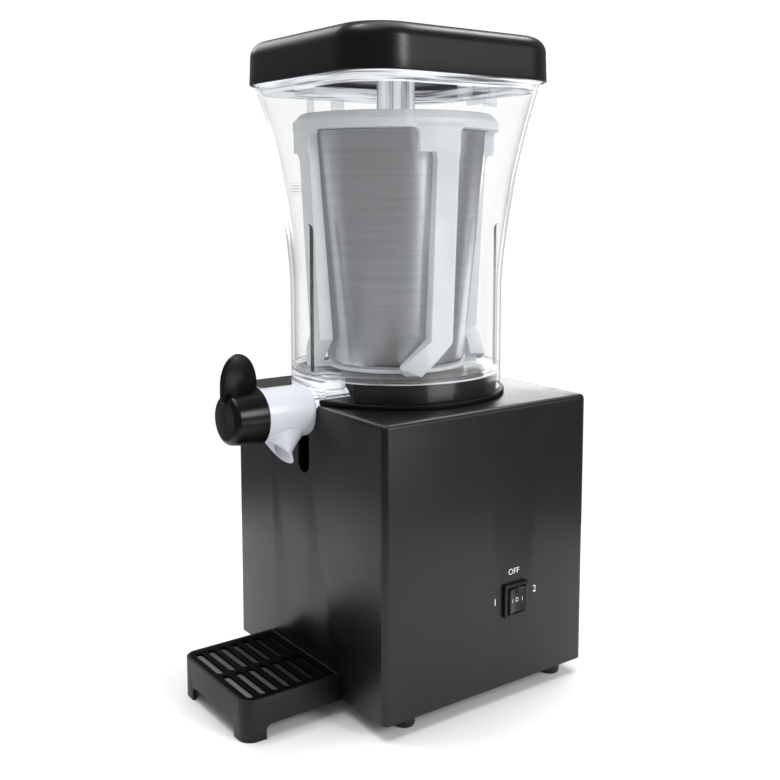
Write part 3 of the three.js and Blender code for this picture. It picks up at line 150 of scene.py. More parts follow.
# A rounded rectangle, counter-clockwise: four quarter circles with sideSteps points between them
def roundOutline(halfX, halfY, corner, arcSteps=10, sideSteps=6, x=0, y=0):
    corner = min(corner, halfX - 0.02, halfY - 0.02)
    angle = np.linspace(0, quarter, arcSteps)
    arcs = [onCircle(corner, angle + k * quarter, sx * (halfX - corner), sy * (halfY - corner))
            for k, (sx, sy) in enumerate([(1, 1), (-1, 1), (-1, -1), (1, -1)])]
    share = np.linspace(0, 1, sideSteps + 2)[1:-1, None]
    parts = []
    for k in range(4):
        parts += [arcs[k], arcs[k][-1] * (1 - share) + arcs[(k + 1) % 4][0] * share]
    return np.concatenate(parts) + [x, y]


def atHeight(outline, z):  # a flat outline as a ring at a height, which may differ along it
    return np.column_stack([outline, np.broadcast_to(np.asarray(z, float), len(outline))])


def prism(outline, low, high):  # an outline drawn up from one height to another
    return shell([atHeight(outline, low), atHeight(outline, high)], capEnds=True)


def block(halfX, halfY, corner, low, high, arcSteps=3, x=0, y=0):  # a rounded rectangle drawn up
    return prism(roundOutline(halfX, halfY, corner, arcSteps, 1, x, y), low, high)


def rod(radius, low, high, arcSteps=12):  # a block that is round
    return block(radius, radius, radius, low, high, arcSteps)


# A rounded block whose edges at both ends are drawn in over 'edge': inset = edge (1 - sin a)
def softBlock(halfX, halfY, corner, low, high, edge, x=0, y=0):
    a = np.linspace(0, quarter, 5)
    inset = np.r_[edge * (1 - np.sin(a)), edge * (1 - np.sin(a[::-1]))]
    level = np.r_[low + edge * (1 - np.cos(a)), high - edge * (1 - np.cos(a[::-1]))]
    rings = [atHeight(roundOutline(halfX - d, halfY - d, max(corner - d, 0.3), 8, 1, x, y), z)
             for d, z in zip(inset, level)]
    return shell(rings, capEnds=True)


def cut(part):  # a step of carved that takes a part away
    return "DIFFERENCE", part


def join(part):  # a step of carved that adds a part
    return "UNION", part


# Objects
def newObject(name, data):  # an object that stands in the scene
    item = bpy.data.objects.new(name, data)
    bpy.context.scene.collection.objects.link(item)
    return item


def dropObject(item):  # an object and its mesh, taken away
    mesh = item.data
    bpy.data.objects.remove(item)
    bpy.data.meshes.remove(mesh)


def meshArrays(mesh):  # a mesh's points and faces
    points = np.empty(len(mesh.vertices) * 3)
    mesh.vertices.foreach_get("co", points)
    return points.reshape(-1, 3), [list(polygon.vertices) for polygon in mesh.polygons]


# One mesh from parts of points and faces: turned, moved and then brought to metres
def meshObject(name, parts, place=None, turn=upright):
    points, faces, start = [], [], 0
    for partPoints, partFaces in parts:
        points.append(np.asarray(partPoints))
        faces += [[index + start for index in face] for face in partFaces]
        start += len(partPoints)
    points = np.concatenate(points) @ turn
    if place is not None:
        points = points + place
    mesh = bpy.data.meshes.new(name)
    mesh.from_pydata((points * mm).tolist(), [], faces)
    mesh.update()
    return newObject(name, mesh)


# The mesh that a piece's modifiers give, put in the place of its own
def settle(item):
    graph = bpy.context.evaluated_depsgraph_get()
    made = bpy.data.meshes.new_from_object(item.evaluated_get(graph))
    item.modifiers.clear()
    old = item.data
    item.data = made
    made.name = old.name
    bpy.data.meshes.remove(old)


# A shell with other shells joined to it or cut from it, one step after another
def carved(base, *steps):
    item = meshObject("work", [base])
    tools = []
    for operation, part in steps:
        tool = meshObject("tool", [part])
        tool.hide_render = True
        modifier = item.modifiers.new("carve", "BOOLEAN")
        modifier.operation = operation
        modifier.object = tool
        modifier.solver = "EXACT"
        tools.append(tool)
    settle(item)
    points, faces = meshArrays(item.data)
    for extra in [item] + tools:
        dropObject(extra)
    return points / mm, faces


# A finished piece: it takes a material, smooth faces up to an angle, a body and the nodes it stands for
def piece(name, parts, finish, body, nodes=(), place=None, turn=upright, smooth=32, bevel=0):
    item = meshObject(name, parts, place, turn)
    if bevel:
        modifier = item.modifiers.new("edge", "BEVEL")
        modifier.width = bevel * mm
        modifier.segments = 3
        modifier.limit_method = "ANGLE"
        modifier.angle_limit = math.radians(50)
        modifier.use_clamp_overlap = True
        settle(item)
    item.data.materials.clear()
    item.data.materials.append(finish)
    item.data.polygons.foreach_set("use_smooth", np.ones(len(item.data.polygons), bool))
    item.data.set_sharp_from_angle(angle=math.radians(smooth))
    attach(item, body)
    if nodes:
        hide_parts(*nodes)


# Materials
# Any node: its type, its settings, which are set first, and the values or links of its sockets
def addNode(tree, kind, settings, values, output=0):
    made = tree.nodes.new(kind)
    for key, value in settings.items():
        setattr(made, key, value)
    for key, value in values.items():
        socket = made.inputs[key]
        if isinstance(value, Wire):
            tree.links.new(value.socket, socket)
        else:
            socket.default_value = value
    return Wire(tree, made.outputs[output]) if made.outputs else None


# A node's output that takes part in sums: each sum on values adds its Math node
class Wire:
    def __init__(self, tree, socket):
        self.tree, self.socket = tree, socket

    def math(self, operation, other, flip=False):
        pair = [other, self] if flip else [self, other]
        return addNode(self.tree, "ShaderNodeMath", {"operation": operation}, {0: pair[0], 1: pair[1]})

    def __add__(self, other):
        return self.math("ADD", other)

    def __radd__(self, other):
        return self.math("ADD", other, flip=True)

    def __sub__(self, other):
        return self.math("SUBTRACT", other)

    def __rsub__(self, other):
        return self.math("SUBTRACT", other, flip=True)

    def __mul__(self, other):
        return self.math("MULTIPLY", other)

    def __rmul__(self, other):
        return self.math("MULTIPLY", other, flip=True)

    def __truediv__(self, other):
        return self.math("DIVIDE", other)

    def __pow__(self, other):
        return self.math("POWER", other)

    def clamped(self):
        return addNode(self.tree, "ShaderNodeClamp", {}, {0: self})

    def fraction(self):
        return addNode(self.tree, "ShaderNodeMath", {"operation": "FRACT"}, {0: self})

    def above(self, start, soft):  # 0 up to a value, then rising to 1
        return ((self - start) * soft).clamped()

    def below(self, end, soft):  # 1 falling to 0 at a value
        return ((end - self) * soft).clamped()

    def within(self, low, high, soft):  # 1 between two values, with soft ends
        return self.above(low, soft) * self.below(high, soft)


# What a finish is made with: its tree, coordinates on the object, noises, mixes and the shader
class Finish:
    def __init__(self, name):
        self.material = bpy.data.materials.new(name)
        self.material.use_nodes = True
        self.tree = self.material.node_tree
        self.tree.nodes.clear()
        self.place = addNode(self.tree, "ShaderNodeTexCoord", {}, {}, "Object")

    def add(self, kind, settings=None, values=None, output=0):
        return addNode(self.tree, kind, settings or {}, values or {}, output)

    def along(self, letter):  # a coordinate in millimetres
        return self.add("ShaderNodeSeparateXYZ", {}, {0: self.place}, letter) * 1000.0

    def noise(self, scale, stretch=(1, 1, 1), detail=3, roughness=0.5):
        mapped = self.place
        if tuple(stretch) != (1, 1, 1):
            mapped = self.add("ShaderNodeMapping", {}, {"Vector": self.place, "Scale": stretch})
        return self.add("ShaderNodeTexNoise", {}, {"Vector": mapped, "Scale": scale, "Detail": detail,
                                                   "Roughness": roughness})

    def between(self, share, first, second):  # a colour between two
        return self.add("ShaderNodeMix", {"data_type": "RGBA"}, {0: share, 6: first, 7: second}, 2)

    def bump(self, height, strength, distance):
        values = {"Height": height, "Strength": strength, "Distance": distance * mm}
        return self.add("ShaderNodeBump", {}, values)

    def mixed(self, share, first, second):  # a surface between two
        return self.add("ShaderNodeMixShader", {}, {0: share, 1: first, 2: second})

    def shader(self, **values):
        named = {key.replace("_", " "): value for key, value in values.items()}
        return self.add("ShaderNodeBsdfPrincipled", {}, named)

    def done(self, surface):
        self.add("ShaderNodeOutputMaterial", {}, {"Surface": surface})
        return self.material


def grey(value, blue=0.0):
    return (value, value, value * (1 + blue), 1)


def dimmed(colour, share):  # a colour at a share of its brightness
    return tuple(c * share for c in colour[:3]) + (1,)


# Moulded or painted plastic: a mottled colour, fine grain, faint rubbed patches
def plastic(name, colour, rough, grain=0.06, grainScale=1500, mottle=0.08, wear=0.06, specular=0.5):
    f = Finish(name)
    broad = f.noise(22, detail=4)
    fine = f.noise(grainScale, detail=2)
    scuff = f.noise(60, (1, 1, 2.5), detail=6, roughness=0.65).above(0.56, 7)
    light = tuple(min(c * (1 + mottle) + mottle * 0.004, 1) for c in colour[:3]) + (1,)
    tone = f.between(broad, dimmed(colour, 1 - mottle), light)
    roughness = rough + (broad - 0.5) * 0.1 + scuff * wear + (fine - 0.5) * 0.08
    return f.done(f.shader(Base_Color=tone, Roughness=roughness, Normal=f.bump(fine, grain, 0.05),
                           Specular_IOR_Level=specular))


# The grille: glossy black bars, and a grey grained sheet in its slots whose grey is a painted reflection,
# more so towards the front
def grilleFinish(name):
    f = Finish(name)
    fine = f.noise(1500, detail=2)
    broad = f.noise(30, detail=4)
    grained = f.noise(2200, detail=1)
    sheetTop = float(trayHigh[2] - 2.2)
    near = (float(trayHigh[1]) - f.along("Y")) / float(trayHigh[1] - trayLow[1])
    # Painted reflection: the sheet below the bars is painted grey, fading to black from the front to the back
    inside = f.along("Z").below(sheetTop, 8) * (near.clamped() ** 2.6)
    tone = f.between(inside, grey(0.002), f.between(grained, grey(0.06, 0.06), grey(0.30, 0.06)))
    return f.done(f.shader(Base_Color=tone, Roughness=0.3 + broad * 0.1, Normal=f.bump(fine, 0.08, 0.05),
                           Specular_IOR_Level=0.03))


# Clear plastic: nearly nothing where it is seen square on, grey and glossy towards its edges.
# The function passed in gives two masks: dark lines, a painted dark refraction at the ribs (with printed
# ticks on the jug), and thick places painted bright with dark streaks and a glow, a painted refraction.
def clearPlastic(name, maskPair, haze=0.005, edge=0.3, power=4.0, tint=(0.45, 0.47, 0.49, 1),
                 stretch=(14, 14, 520)):
    f = Finish(name)
    shine = 0.018  # how much is mirrored where it is seen square on
    facing = f.add("ShaderNodeLayerWeight", {}, {"Blend": 0.5}, "Facing")
    swirl = f.noise(34, (1, 1, 0.35), detail=3)
    lines = f.noise(1.0, stretch, detail=2).above(0.38, 8)
    darkLines, paintedRefraction = maskPair(f)
    # Painted refraction: the body is painted bright with dark streaks and a glow where the thick-place mask
    # lies, and near-black along the dark lines
    veil = (haze * (0.6 + swirl * 0.8) + (facing ** power) * edge + darkLines * 0.95 + paintedRefraction * 0.62).clamped()
    refractionStreaks = f.between(lines, (0.12, 0.125, 0.14, 1), (0.92, 0.94, 0.98, 1))
    colour = f.between(darkLines, f.between(paintedRefraction, tint, refractionStreaks), (0.03, 0.032, 0.034, 1))
    glow = f.between(paintedRefraction * lines, (0, 0, 0, 1), (0.95, 0.97, 1.0, 1))
    body = f.shader(Base_Color=colour, Roughness=0.12 + swirl * 0.08, Normal=f.bump(swirl, 0.08, 0.2),
                    Emission_Color=glow, Emission_Strength=0.5)
    through = f.add("ShaderNodeBsdfTransparent", {}, {"Color": (0.992, 0.995, 0.995, 1)})
    gloss = f.add("ShaderNodeBsdfGlossy", {}, {"Color": (1, 1, 1, 1), "Roughness": 0.16,
                                              "Normal": f.bump(swirl, 0.10, 0.2)})
    mirrored = (shine + (facing ** 5) * (1 - shine) * 0.7).clamped()
    return f.done(f.mixed(mirrored, f.mixed(veil, through, body), gloss))


# Frosted plastic: milky, a little see-through where thin, with a soft grain and a faint painted glow that
# stands in for light passing through it
def frostedPlastic(name):
    f = Finish(name)
    cloud = f.noise(45, detail=4)
    fine = f.noise(1400, detail=2)
    tone = f.between(cloud, (0.56, 0.57, 0.58, 1), (0.66, 0.67, 0.68, 1))
    # Painted light: a faint emission glow in place of light passing through the plastic
    body = f.shader(Base_Color=tone, Roughness=0.38 + cloud * 0.12, Normal=f.bump(fine, 0.06, 0.05),
                    Subsurface_Weight=0.35, Subsurface_Radius=(1, 1, 1), Subsurface_Scale=0.004,
                    Emission_Color=(0.96, 0.98, 1, 1), Emission_Strength=0.13)
    facing = f.add("ShaderNodeLayerWeight", {}, {"Blend": 0.5}, "Facing")
    through = f.add("ShaderNodeBsdfTransparent", {}, {"Color": (0.96, 0.97, 0.98, 1)})
    cover = (0.80 + (facing ** 2) * 0.2 + (cloud - 0.5) * 0.1).clamped()
    return f.done(f.mixed(cover, through, body))


# Brushed steel: fine level scratches round the piece over a broad unevenness.
# The scratches spread a highlight up and down, so that it shows as an upright band.
def brushedSteel(name, colour=(0.74, 0.755, 0.785, 1), rough=0.34, line=9000):
    f = Finish(name)
    scratch = f.noise(1.0, (22, 22, line / 8), detail=5, roughness=0.7)
    streak = f.noise(1.0, (16, 16, line / 24), detail=4, roughness=0.6).above(0.38, 3.5)
    broad = f.noise(16, (1, 1, 0.5), detail=3)
    tone = f.between(streak * 0.7 + scratch * 0.3, dimmed(colour, 0.84), colour)
    roughness = rough + (scratch - 0.5) * 0.22 + (broad - 0.5) * 0.08
    around = f.add("ShaderNodeTangent", {"direction_type": "RADIAL", "axis": "Z"})
    return f.done(f.shader(Base_Color=tone, Metallic=1.0, Roughness=roughness, Anisotropic=0.6,
                           Anisotropic_Rotation=0.25, Normal=f.bump(scratch, 0.22, 0.06), Tangent=around))


# Bare machine metal: cast or rolled, with a dull mottle
def plainMetal(name, colour, rough):
    f = Finish(name)
    broad = f.noise(70, detail=5)
    fine = f.noise(900, detail=2)
    tone = f.between(broad, dimmed(colour, 0.8), colour)
    return f.done(f.shader(Base_Color=tone, Metallic=1.0, Roughness=rough + (broad - 0.5) * 0.25,
                           Normal=f.bump(fine, 0.1, 0.05)))


# Painted refraction on the jug: dark lines at the edges of its ribs and along its floor, and bright streaks
# where it is thick: the outlet, the rim and the floor's edge.
# Printed level ticks are added to the dark lines. Both are worked out from the distance to the axis and the
# height above the housing.
def jugRefractionAndTicks(f):
    centred = f.add("ShaderNodeVectorMath", {"operation": "SUBTRACT"}, {0: f.place, 1: tuple(jugPlace * mm)})
    flat = f.add("ShaderNodeVectorMath", {"operation": "MULTIPLY"}, {0: centred, 1: (1000.0, 1000.0, 0.0)})
    reach = f.add("ShaderNodeVectorMath", {"operation": "LENGTH"}, {0: flat}, "Value")
    height = f.add("ShaderNodeSeparateXYZ", {}, {0: centred}, "Z") * 1000.0
    forward = f.add("ShaderNodeSeparateXYZ", {}, {0: centred}, "Y") * -1000.0
    across = f.add("ShaderNodeSeparateXYZ", {}, {0: centred}, "X") * 1000.0
    # Painted dark refraction along the ribs' edges
    ribEdge = (reach.below(77.0, 8) + height.above(128.4, 4)).clamped()
    darkLines = ribEdge * reach.below(78.1, 8) * reach.above(60, 4) * height.above(21.0, 4)
    # Painted bright refraction at the outlet, the rim and the floor's edge, and a painted dark refraction
    # line just above the floor
    outlet = forward.above(48, 0.2) * height.below(18.5, 0.5) * across.below(18.5, 2)
    rim = height.above(230.6, 2)
    wall = reach.above(76, 2)
    floorEdge, floorDarkRefraction = wall * height.within(17.2, 19.0, 3), wall * height.within(19.6, 20.8, 3)
    # Plain level ticks on the front left of the wall
    ticks = wall * across.within(-18.0, -5.0, 4) * forward.above(40, 2) * height.within(151.0, 159.0, 4)
    ticks = ticks * (height * 0.5).fraction().within(0.25, 0.75, 4)
    return darkLines + floorDarkRefraction * 0.6 + ticks * 0.5, (outlet + rim + floorEdge * 0.8).clamped()


def linerRefraction(f):  # painted bright, streaked refraction with a glow on the liner's walls below its plate, and on its lugs more faintly; no dark lines
    height = f.along("Z") - float(jugPlace[2])
    return height * 0.0, height.below(238.0, 2) * (0.3 + height.above(225.5, 2) * 0.6)


def postRefraction(f):  # painted bright, streaked refraction with a glow all over the post; no dark lines
    nothing = f.along("Z") * 0.0
    return nothing, nothing + 0.9


housingBlack = plastic("housingBlack", grey(0.004, 0.06), 0.33, grain=0.10, grainScale=1700, specular=0.38)
lidBlack = plastic("lidBlack", grey(0.003, 0.1), 0.3, grain=0.10, grainScale=1300, specular=0.25)
glossBlack = plastic("glossBlack", grey(0.004), 0.27, grain=0.05, specular=0.3)
knobBlack = plastic("knobBlack", grey(0.003), 0.26, grain=0.05, wear=0.03, specular=0.2)
collarBlack = plastic("collarBlack", grey(0.003), 0.42, grain=0.02, specular=0.1)
trayBlack = plastic("trayBlack", grey(0.003, 0.05), 0.42, grain=0.12, grainScale=1100, specular=0.33)
rubberBlack = plastic("rubberBlack", grey(0.012), 0.62, grain=0.2, grainScale=900, specular=0.35)
whitePlastic = plastic("whitePlastic", (0.64, 0.665, 0.72, 1), 0.3, grain=0.03, mottle=0.015, wear=0.04)
markWhite = plastic("markWhite", grey(0.75), 0.5, grain=0.03, mottle=0.03)
silicone = plastic("silicone", (0.62, 0.63, 0.64, 1), 0.5, grain=0.05, mottle=0.03)
clearJug = clearPlastic("clearJug", jugRefractionAndTicks, edge=0.17, power=5)
clearLid = clearPlastic("clearLid", linerRefraction, haze=0.003, edge=0.15)
clearPost = clearPlastic("clearPost", postRefraction, haze=0.02, edge=0.5, power=2.4, tint=(0.3, 0.32, 0.34, 1),
                         stretch=(300, 300, 3))
frosted = frostedPlastic("frosted")
grilleBlack = grilleFinish("grilleBlack")
coreSteel = brushedSteel("coreSteel")
shaftSteel = brushedSteel("shaftSteel", rough=0.28, line=4000)
screwZinc = plainMetal("screwZinc", (0.55, 0.56, 0.57, 1), 0.36)
driveZinc = plainMetal("driveZinc", (0.42, 0.43, 0.44, 1), 0.5)
brass = plainMetal("brass", (0.66, 0.5, 0.24, 1), 0.38)
print("materials made")

# Housing
housing = dict(corner=5.0, topCorner=1.2, edge=4.0, wall=2.8, innerCorner=2.5, keyHalf=18.4, slotHalf=7.8,
               slotDrop=47.5, keyTop=30.0, channelMore=2.3, bush=9.5, switchHalf=(10.2, 11.2), tongue=6.3,
               tongueApart=30.0, tongueLow=15.7, tongueHigh=18.9)


# The tap's hole: a circle that is open above, and below it a slot with a round end.
# The slot meets the circle at the angle acos(slot / circle).
def keyholeOutline(big, small, drop, top):
    meeting = math.acos(small / big)
    left = onCircle(big, np.linspace(2 * quarter, 2 * quarter + meeting, 10))
    end = onCircle(small, np.linspace(2 * quarter, 4 * quarter, 14), 0, small - drop)
    return np.concatenate([left, end, left[::-1] * [-1, 1], [(big, top), (-big, top)]])


# Rounded rectangles up to the top, whose edge is drawn in by edge (1 - cos a) as it rises by edge sin a.
# The inside, the keyhole, the gutter's channel and the holes of bush, switch and tongues are cut out.
def housingShape(half, middle, corner, topCorner, edge, wall, innerCorner, keyHalf, slotHalf, slotDrop,
                 keyTop, channelMore, bush, switchHalf, tongue, tongueApart, tongueLow, tongueHigh):
    low, high = housingLow[2], housingHigh[2]
    a = np.linspace(0, quarter, 7)
    inset = np.r_[0.6, 0.15, 0, 0, edge * (1 - np.cos(a))]
    level = np.r_[low, low + 0.3, low + 0.8, high - edge - 20, high - edge * (1 - np.sin(a))]
    rings = [atHeight(roundOutline(half[0] - d, half[1] - d, corner - min(d, corner - topCorner), 9, 3), z)
             for d, z in zip(inset, level)]
    axisX, axisY, frontY, channel = jugPlace[0] - middle[0], jugPlace[1] - middle[1], -half[1], 22
    keyhole = prism(keyholeOutline(keyHalf, slotHalf, slotDrop, keyTop), -4, wall + 4)
    cuts = [block(half[0] - wall, half[1] - wall, innerCorner, low - 5, high - wall, 5),
            faced(keyhole, towardFront, [axisX, frontY, tapPlace[2]]),
            block(keyHalf + channelMore, channel, 1, high - 6, high + 6, x=axisX, y=frontY + wall + channel),
            moved(rod(bush, high - 8, high + 8), axisX, axisY),
            faced(block(*switchHalf, 1, -8, 8), towardSide, switchPlace - [middle[0], middle[1], 0])]
    cuts += [block(tongue, 12, 0.6, tongueLow, tongueHigh, x=axisX + side * tongueApart, y=frontY)
             for side in (-1, 1)]
    return carved(shell(rings, capEnds=True), *map(cut, cuts))


half, middle = (housingHigh - housingLow) / 2, (housingHigh + housingLow) / 2
piece("housingCase", [housingShape(half, middle, **housing)], housingBlack, "base",
      ["housing_shell"], [middle[0], middle[1], 0])
print("housing made")

# Feet
foot = dict(tip=6.6, side=7.6, top=11.7, bore=2.2, pocket=3.9, pocketTop=5.1)


def footShape(tip, side, top, bore, pocket, pocketTop):  # a profile turned about the foot's axis
    corners = [(pocket, 0.0), (tip, 0.0), (tip + 0.7, 1.2), (side, 6.0), (side, top), (bore, top),
               (bore, pocketTop), (pocket, pocketTop)]
    return turned(corners, [0.3, 0.8, 0.6, 1, 0.3, 0.2, 0.2, 0.2], 48)


for corner in ("front_left", "front_right", "rear_left", "rear_right"):
    low, high = nodeBox("foot_" + corner)
    piece("foot_" + corner + "_rubber", [footShape(**foot)], rubberBlack, "base",
          ["foot_" + corner], [(low[0] + high[0]) / 2, (low[1] + high[1]) / 2, 0])

# Seat collar
collar = dict(bore=9.5, flange=84.0, flangeLow=0.3, flangeTop=3.5, ringOuter=77.8, ringWall=3.0, ringLow=1.5,
              ringTop=16.9, gap=31.0, gutter=18.4, gutterWall=2.0, gutterBack=44.5, front=81.4)


# A flange and a ring turned about the axis, with the ring open in front by 'gap' degrees to each side.
# The gutter's lining and the space in it are round below and straight above, and are drawn forward.
def collarShape(bore, flange, flangeLow, flangeTop, ringOuter, ringWall, ringLow, ringTop, gap, gutter,
                gutterWall, gutterBack, front):
    plate = turned(boxCorners(bore, flange, flangeLow, flangeTop), [0, 0.3, 1.4, 0], 160)
    ringCorners = boxCorners(ringOuter - ringWall, ringOuter, ringLow, ringTop)
    ring = arcSweep(softened(ringCorners, [0, 0, 0.8, 0.8]), gap - 90, 270 - gap, 140)

    def trough(width, top, start):
        around = onCircle(width, np.linspace(2 * quarter, 4 * quarter, 24), 0, -tapDrop)
        return faced(prism(np.r_[[(width, top), (-width, top)], around], start, front), towardFront)

    lining = trough(gutter + gutterWall, 1.75, gutterBack - gutterWall)
    mouth = block(gutter, 60, 1, -8, 20, y=-front - 60)
    return carved(plate, join(ring), join(lining), cut(trough(gutter, 20.0, gutterBack)), cut(mouth))


piece("seatCollar", [collarShape(**collar)], collarBlack, "base", ["seat_collar"], jugPlace)
print("collar made")

# Jug
jug = dict(radius=81.0, wall=2.8, flare=7.0, topCorner=38.0, power=1.6, skirtLow=3.8, skirtInner=78.4,
           floorLow=17.2, floorTop=20.0, straight=80.0, rim=233.0, ribDepth=3.0, ribWidth=2.0, ribTop=130.0,
           ribRound=5.0, hub=11.0, hubTop=33.0, hubBore=8.3, shaftBore=4.6, outlet=17.0, outletBore=13.5,
           outletEnd=82.5, wellForward=62.0, well=12.5, wellBore=9.5)


# Half the jug's width at a height, and the corner of its outline: both change from straight to rim
# by ((z - straight) / (rim - straight)) ^ power
def jugSize(z):
    share = np.maximum(0, (z - jug["straight"]) / (jug["rim"] - jug["straight"])) ** jug["power"]
    return jug["radius"] + jug["flare"] * share, jug["radius"] + (jug["topCorner"] - jug["radius"]) * share


def jugRing(z, inset, level=None):  # the jug's outline at a height
    width, corner = jugSize(z)
    outline = roundOutline(width - inset, width - inset, corner - inset, 22, 7)
    return atHeight(outline, z if level is None else level)


def jugReach(z, turn):  # from the axis to the jug's outside, in front or through a corner
    width, corner = jugSize(z)
    return np.where(abs(turn) < 1, width, (width - corner) * math.sqrt(2) + corner)


# The jug's outline at each level from the skirt to the rim, and the same drawn in by the wall for the hollow.
# A rib follows the wall and has a round tip. The outlet, the well and the bores are rods.
def jugShape(radius, wall, skirtLow, skirtInner, floorLow, floorTop, straight, rim, ribDepth, ribWidth,
             ribTop, ribRound, hub, hubTop, hubBore, shaftBore, outlet, outletBore, outletEnd, wellForward,
             well, wellBore, **opening):
    levels = np.linspace(straight, rim - 1.2, 30)
    outside = [(skirtLow, 1.0), (skirtLow + 0.3, 0.3), (skirtLow + 1, 0), (12, 0), (20, 0), (24, 0), (50, 0)]
    outside += [(z, 0) for z in levels] + [(rim, 0.3, rim - 0.35), (rim, 1.0, rim)]
    inside = [(floorTop, wall + 3.0), (floorTop, wall + 0.9, floorTop + 0.9),
              (floorTop, wall, floorTop + 3.0), (50, wall)]
    inside += [(z, wall) for z in levels]
    inside += [(rim, wall - 0.9, rim + 0.01), (rim, wall - 0.9, rim + 3)]
    hollow = shell([jugRing(*row) for row in inside], capEnds=True)
    steps = [cut(hollow), cut(rod(skirtInner, 0, floorLow, 30))]
    z = np.linspace(floorTop - 1, ribTop, 24)
    inner = radius - wall - ribDepth
    tip = onCircle(ribRound, np.linspace(quarter, 2 * quarter, 8), inner + ribRound, ribTop - ribRound)
    for turn in (0, 135, -135):
        outline = np.r_[[(inner, floorTop - 1)], np.stack([jugReach(z, turn) - 1.2, z], -1), tip]
        points, faces = prism(outline, -ribWidth / 2, ribWidth / 2)
        rib = (np.stack([points[:, 0], points[:, 2], points[:, 1]], -1), [face[::-1] for face in faces])
        steps.append(join(moved(rib, turn=turn - 90)))
    hubPart = turned(boxCorners(0, hub, floorTop - 1.5, hubTop), [0, 0, 1, 0], 48, closed=False)
    pipe = faced(rod(outlet, wellForward - 9.5, outletEnd), towardFront, [0, 0, -tapDrop])
    pipeBore = faced(rod(outletBore, wellForward - 6.5, outletEnd + 3), towardFront, [0, 0, -tapDrop])
    steps += [join(hubPart), join(pipe), join(moved(rod(well, -6, 18.6), 0, -wellForward)), cut(pipeBore),
              cut(moved(rod(wellBore, -6, 24), 0, -wellForward)), cut(rod(hubBore, 15, 30.5)),
              cut(rod(shaftBore, 29, 36, 10))]
    return carved(shell([jugRing(*row) for row in outside], capEnds=True), *steps)


piece("jugClear", [jugShape(**jug)], clearJug, "jug", ["jug_shell"], jugPlace, smooth=30)
print("jug made")

# Paddle
paddle = dict(turn=-7.2, ring=78.0, ringInner=70.4, ringLow=198.0, ringShoulder=204.0, ringHigh=210.0,
              chamfer=5.8, low=20.8, barLow=44.0, barWidth=18.0, tabReach=22.8, tabHeight=17.0, fillet=5.0,
              lowRadius=69.4, topRadius=77.6, depth=11.4, toe=32.0, toeRise=6.5, baseOuter=52.3,
              baseInner=39.3, base=2.4, hub=15.75, hubInner=11.75, hubTop=39.1, neck=9.4, neckTop=45.1,
              bore=5.8, boreLow=35.1, armStart=13.7, armEnd=64.0, armHalf=6.5, armReach=20.5)


# A bar as levels from its toe up into the ring: it slants to the middle, goes straight up,
# steps out to its tab and widens by fillet (1 - cos a) as it rises by fillet sin a
def paddleBar(ring, ringInner, ringLow, ringShoulder, low, barLow, barWidth, tabReach, tabHeight, fillet,
              lowRadius, topRadius, depth, toe, toeRise, **others):
    rows = []

    # One level of a bar: an arc between two reaches on its outer face, then back along its inner face
    def level(leftReach, leftZ, rightReach, rightZ, wide=0):
        share = (max((leftZ + rightZ) / 2, barLow) - barLow) / (ringLow - barLow)
        outer = lowRadius + (topRadius - lowRadius) * share
        outer += (ring - outer) * wide
        innerLow = lowRadius - depth
        inner = innerLow + (ringInner - innerLow) * share
        t = np.linspace(0, 1, 13)
        angle = (leftReach + (rightReach - leftReach) * t) / outer
        z = leftZ + (rightZ - leftZ) * t
        rows.append(np.r_[atHeight(onCircle(outer, angle), z), atHeight(onCircle(inner, angle), z)[::-1]])

    middle = barWidth / 2
    heel = toe - barWidth + fillet / 2
    toeTop, barFoot, tabLow = low + toeRise, barLow + middle / 4, ringLow - tabHeight
    level(-toe, toeTop, -heel, low)
    for t in (0.25, 0.5, 0.75):
        level(-toe + (toe - middle) * t, toeTop + (barFoot - low - toeRise) * t,
              -heel + (middle + heel) * t, low + (barLow - low) * t)
    level(-middle, barFoot, middle, barLow)
    for z in np.linspace(barFoot, tabLow - fillet, 6)[1:]:
        level(-middle, z, middle, z)
    level(-middle - fillet / 3, tabLow - 0.3, middle, tabLow - 0.3, 1)
    level(-tabReach, tabLow, middle, tabLow, 1)
    level(-tabReach - 0.01, tabLow + 4, middle, tabLow + 4, 1)
    for angle in np.linspace(0, quarter, 8):
        grow = fillet * (1 - math.cos(angle))
        z = ringLow - fillet * (1 - math.sin(angle))
        level(-tabReach - grow, z, middle + grow, z, 1)
    ringMiddle = (ringLow + ringShoulder) / 2
    level(-tabReach - fillet, ringMiddle, middle + fillet, ringMiddle, 1)
    return shell(rows, capEnds=True)


# The ring, the base and the hub are turned about the axis, and four arms and bars stand a quarter turn apart
def paddleShape(turn, ring, ringInner, ringLow, ringShoulder, ringHigh, chamfer, low, lowRadius, baseOuter,
                baseInner, base, hub, hubInner, hubTop, neck, neckTop, bore, boreLow, armStart, armEnd,
                armHalf, armReach, **others):
    top = low + base
    parts = [turned([(ringInner, ringLow), (ring, ringLow), (ring, ringShoulder), (ring - chamfer, ringHigh),
                     (ringInner, ringHigh)], [0.6, 0.6, 0.8, 0.6, 0.6], 160),
             turned(boxCorners(baseInner, baseOuter, low, top), 0.4, 96),
             turned([(hubInner, low), (hub, low), (hub, hubTop), (neck, hubTop), (neck, neckTop),
                     (bore, neckTop), (bore, boreLow), (hubInner, boreLow)], 0.4, 48)]
    arm = block((armEnd - armStart) / 2, armHalf, 0.5, low + 0.02, top - 0.02, x=(armEnd + armStart) / 2)
    for k in range(4):
        parts += [moved(paddleBar(**paddle), turn=k * 90 + turn),
                  moved(arm, turn=k * 90 + turn - math.degrees(armReach / lowRadius))]
    return parts


piece("paddleFrosted", paddleShape(**paddle), frosted, "paddle", ["paddle_cage"], jugPlace,
      smooth=34, bevel=0.7)
print("paddle made")

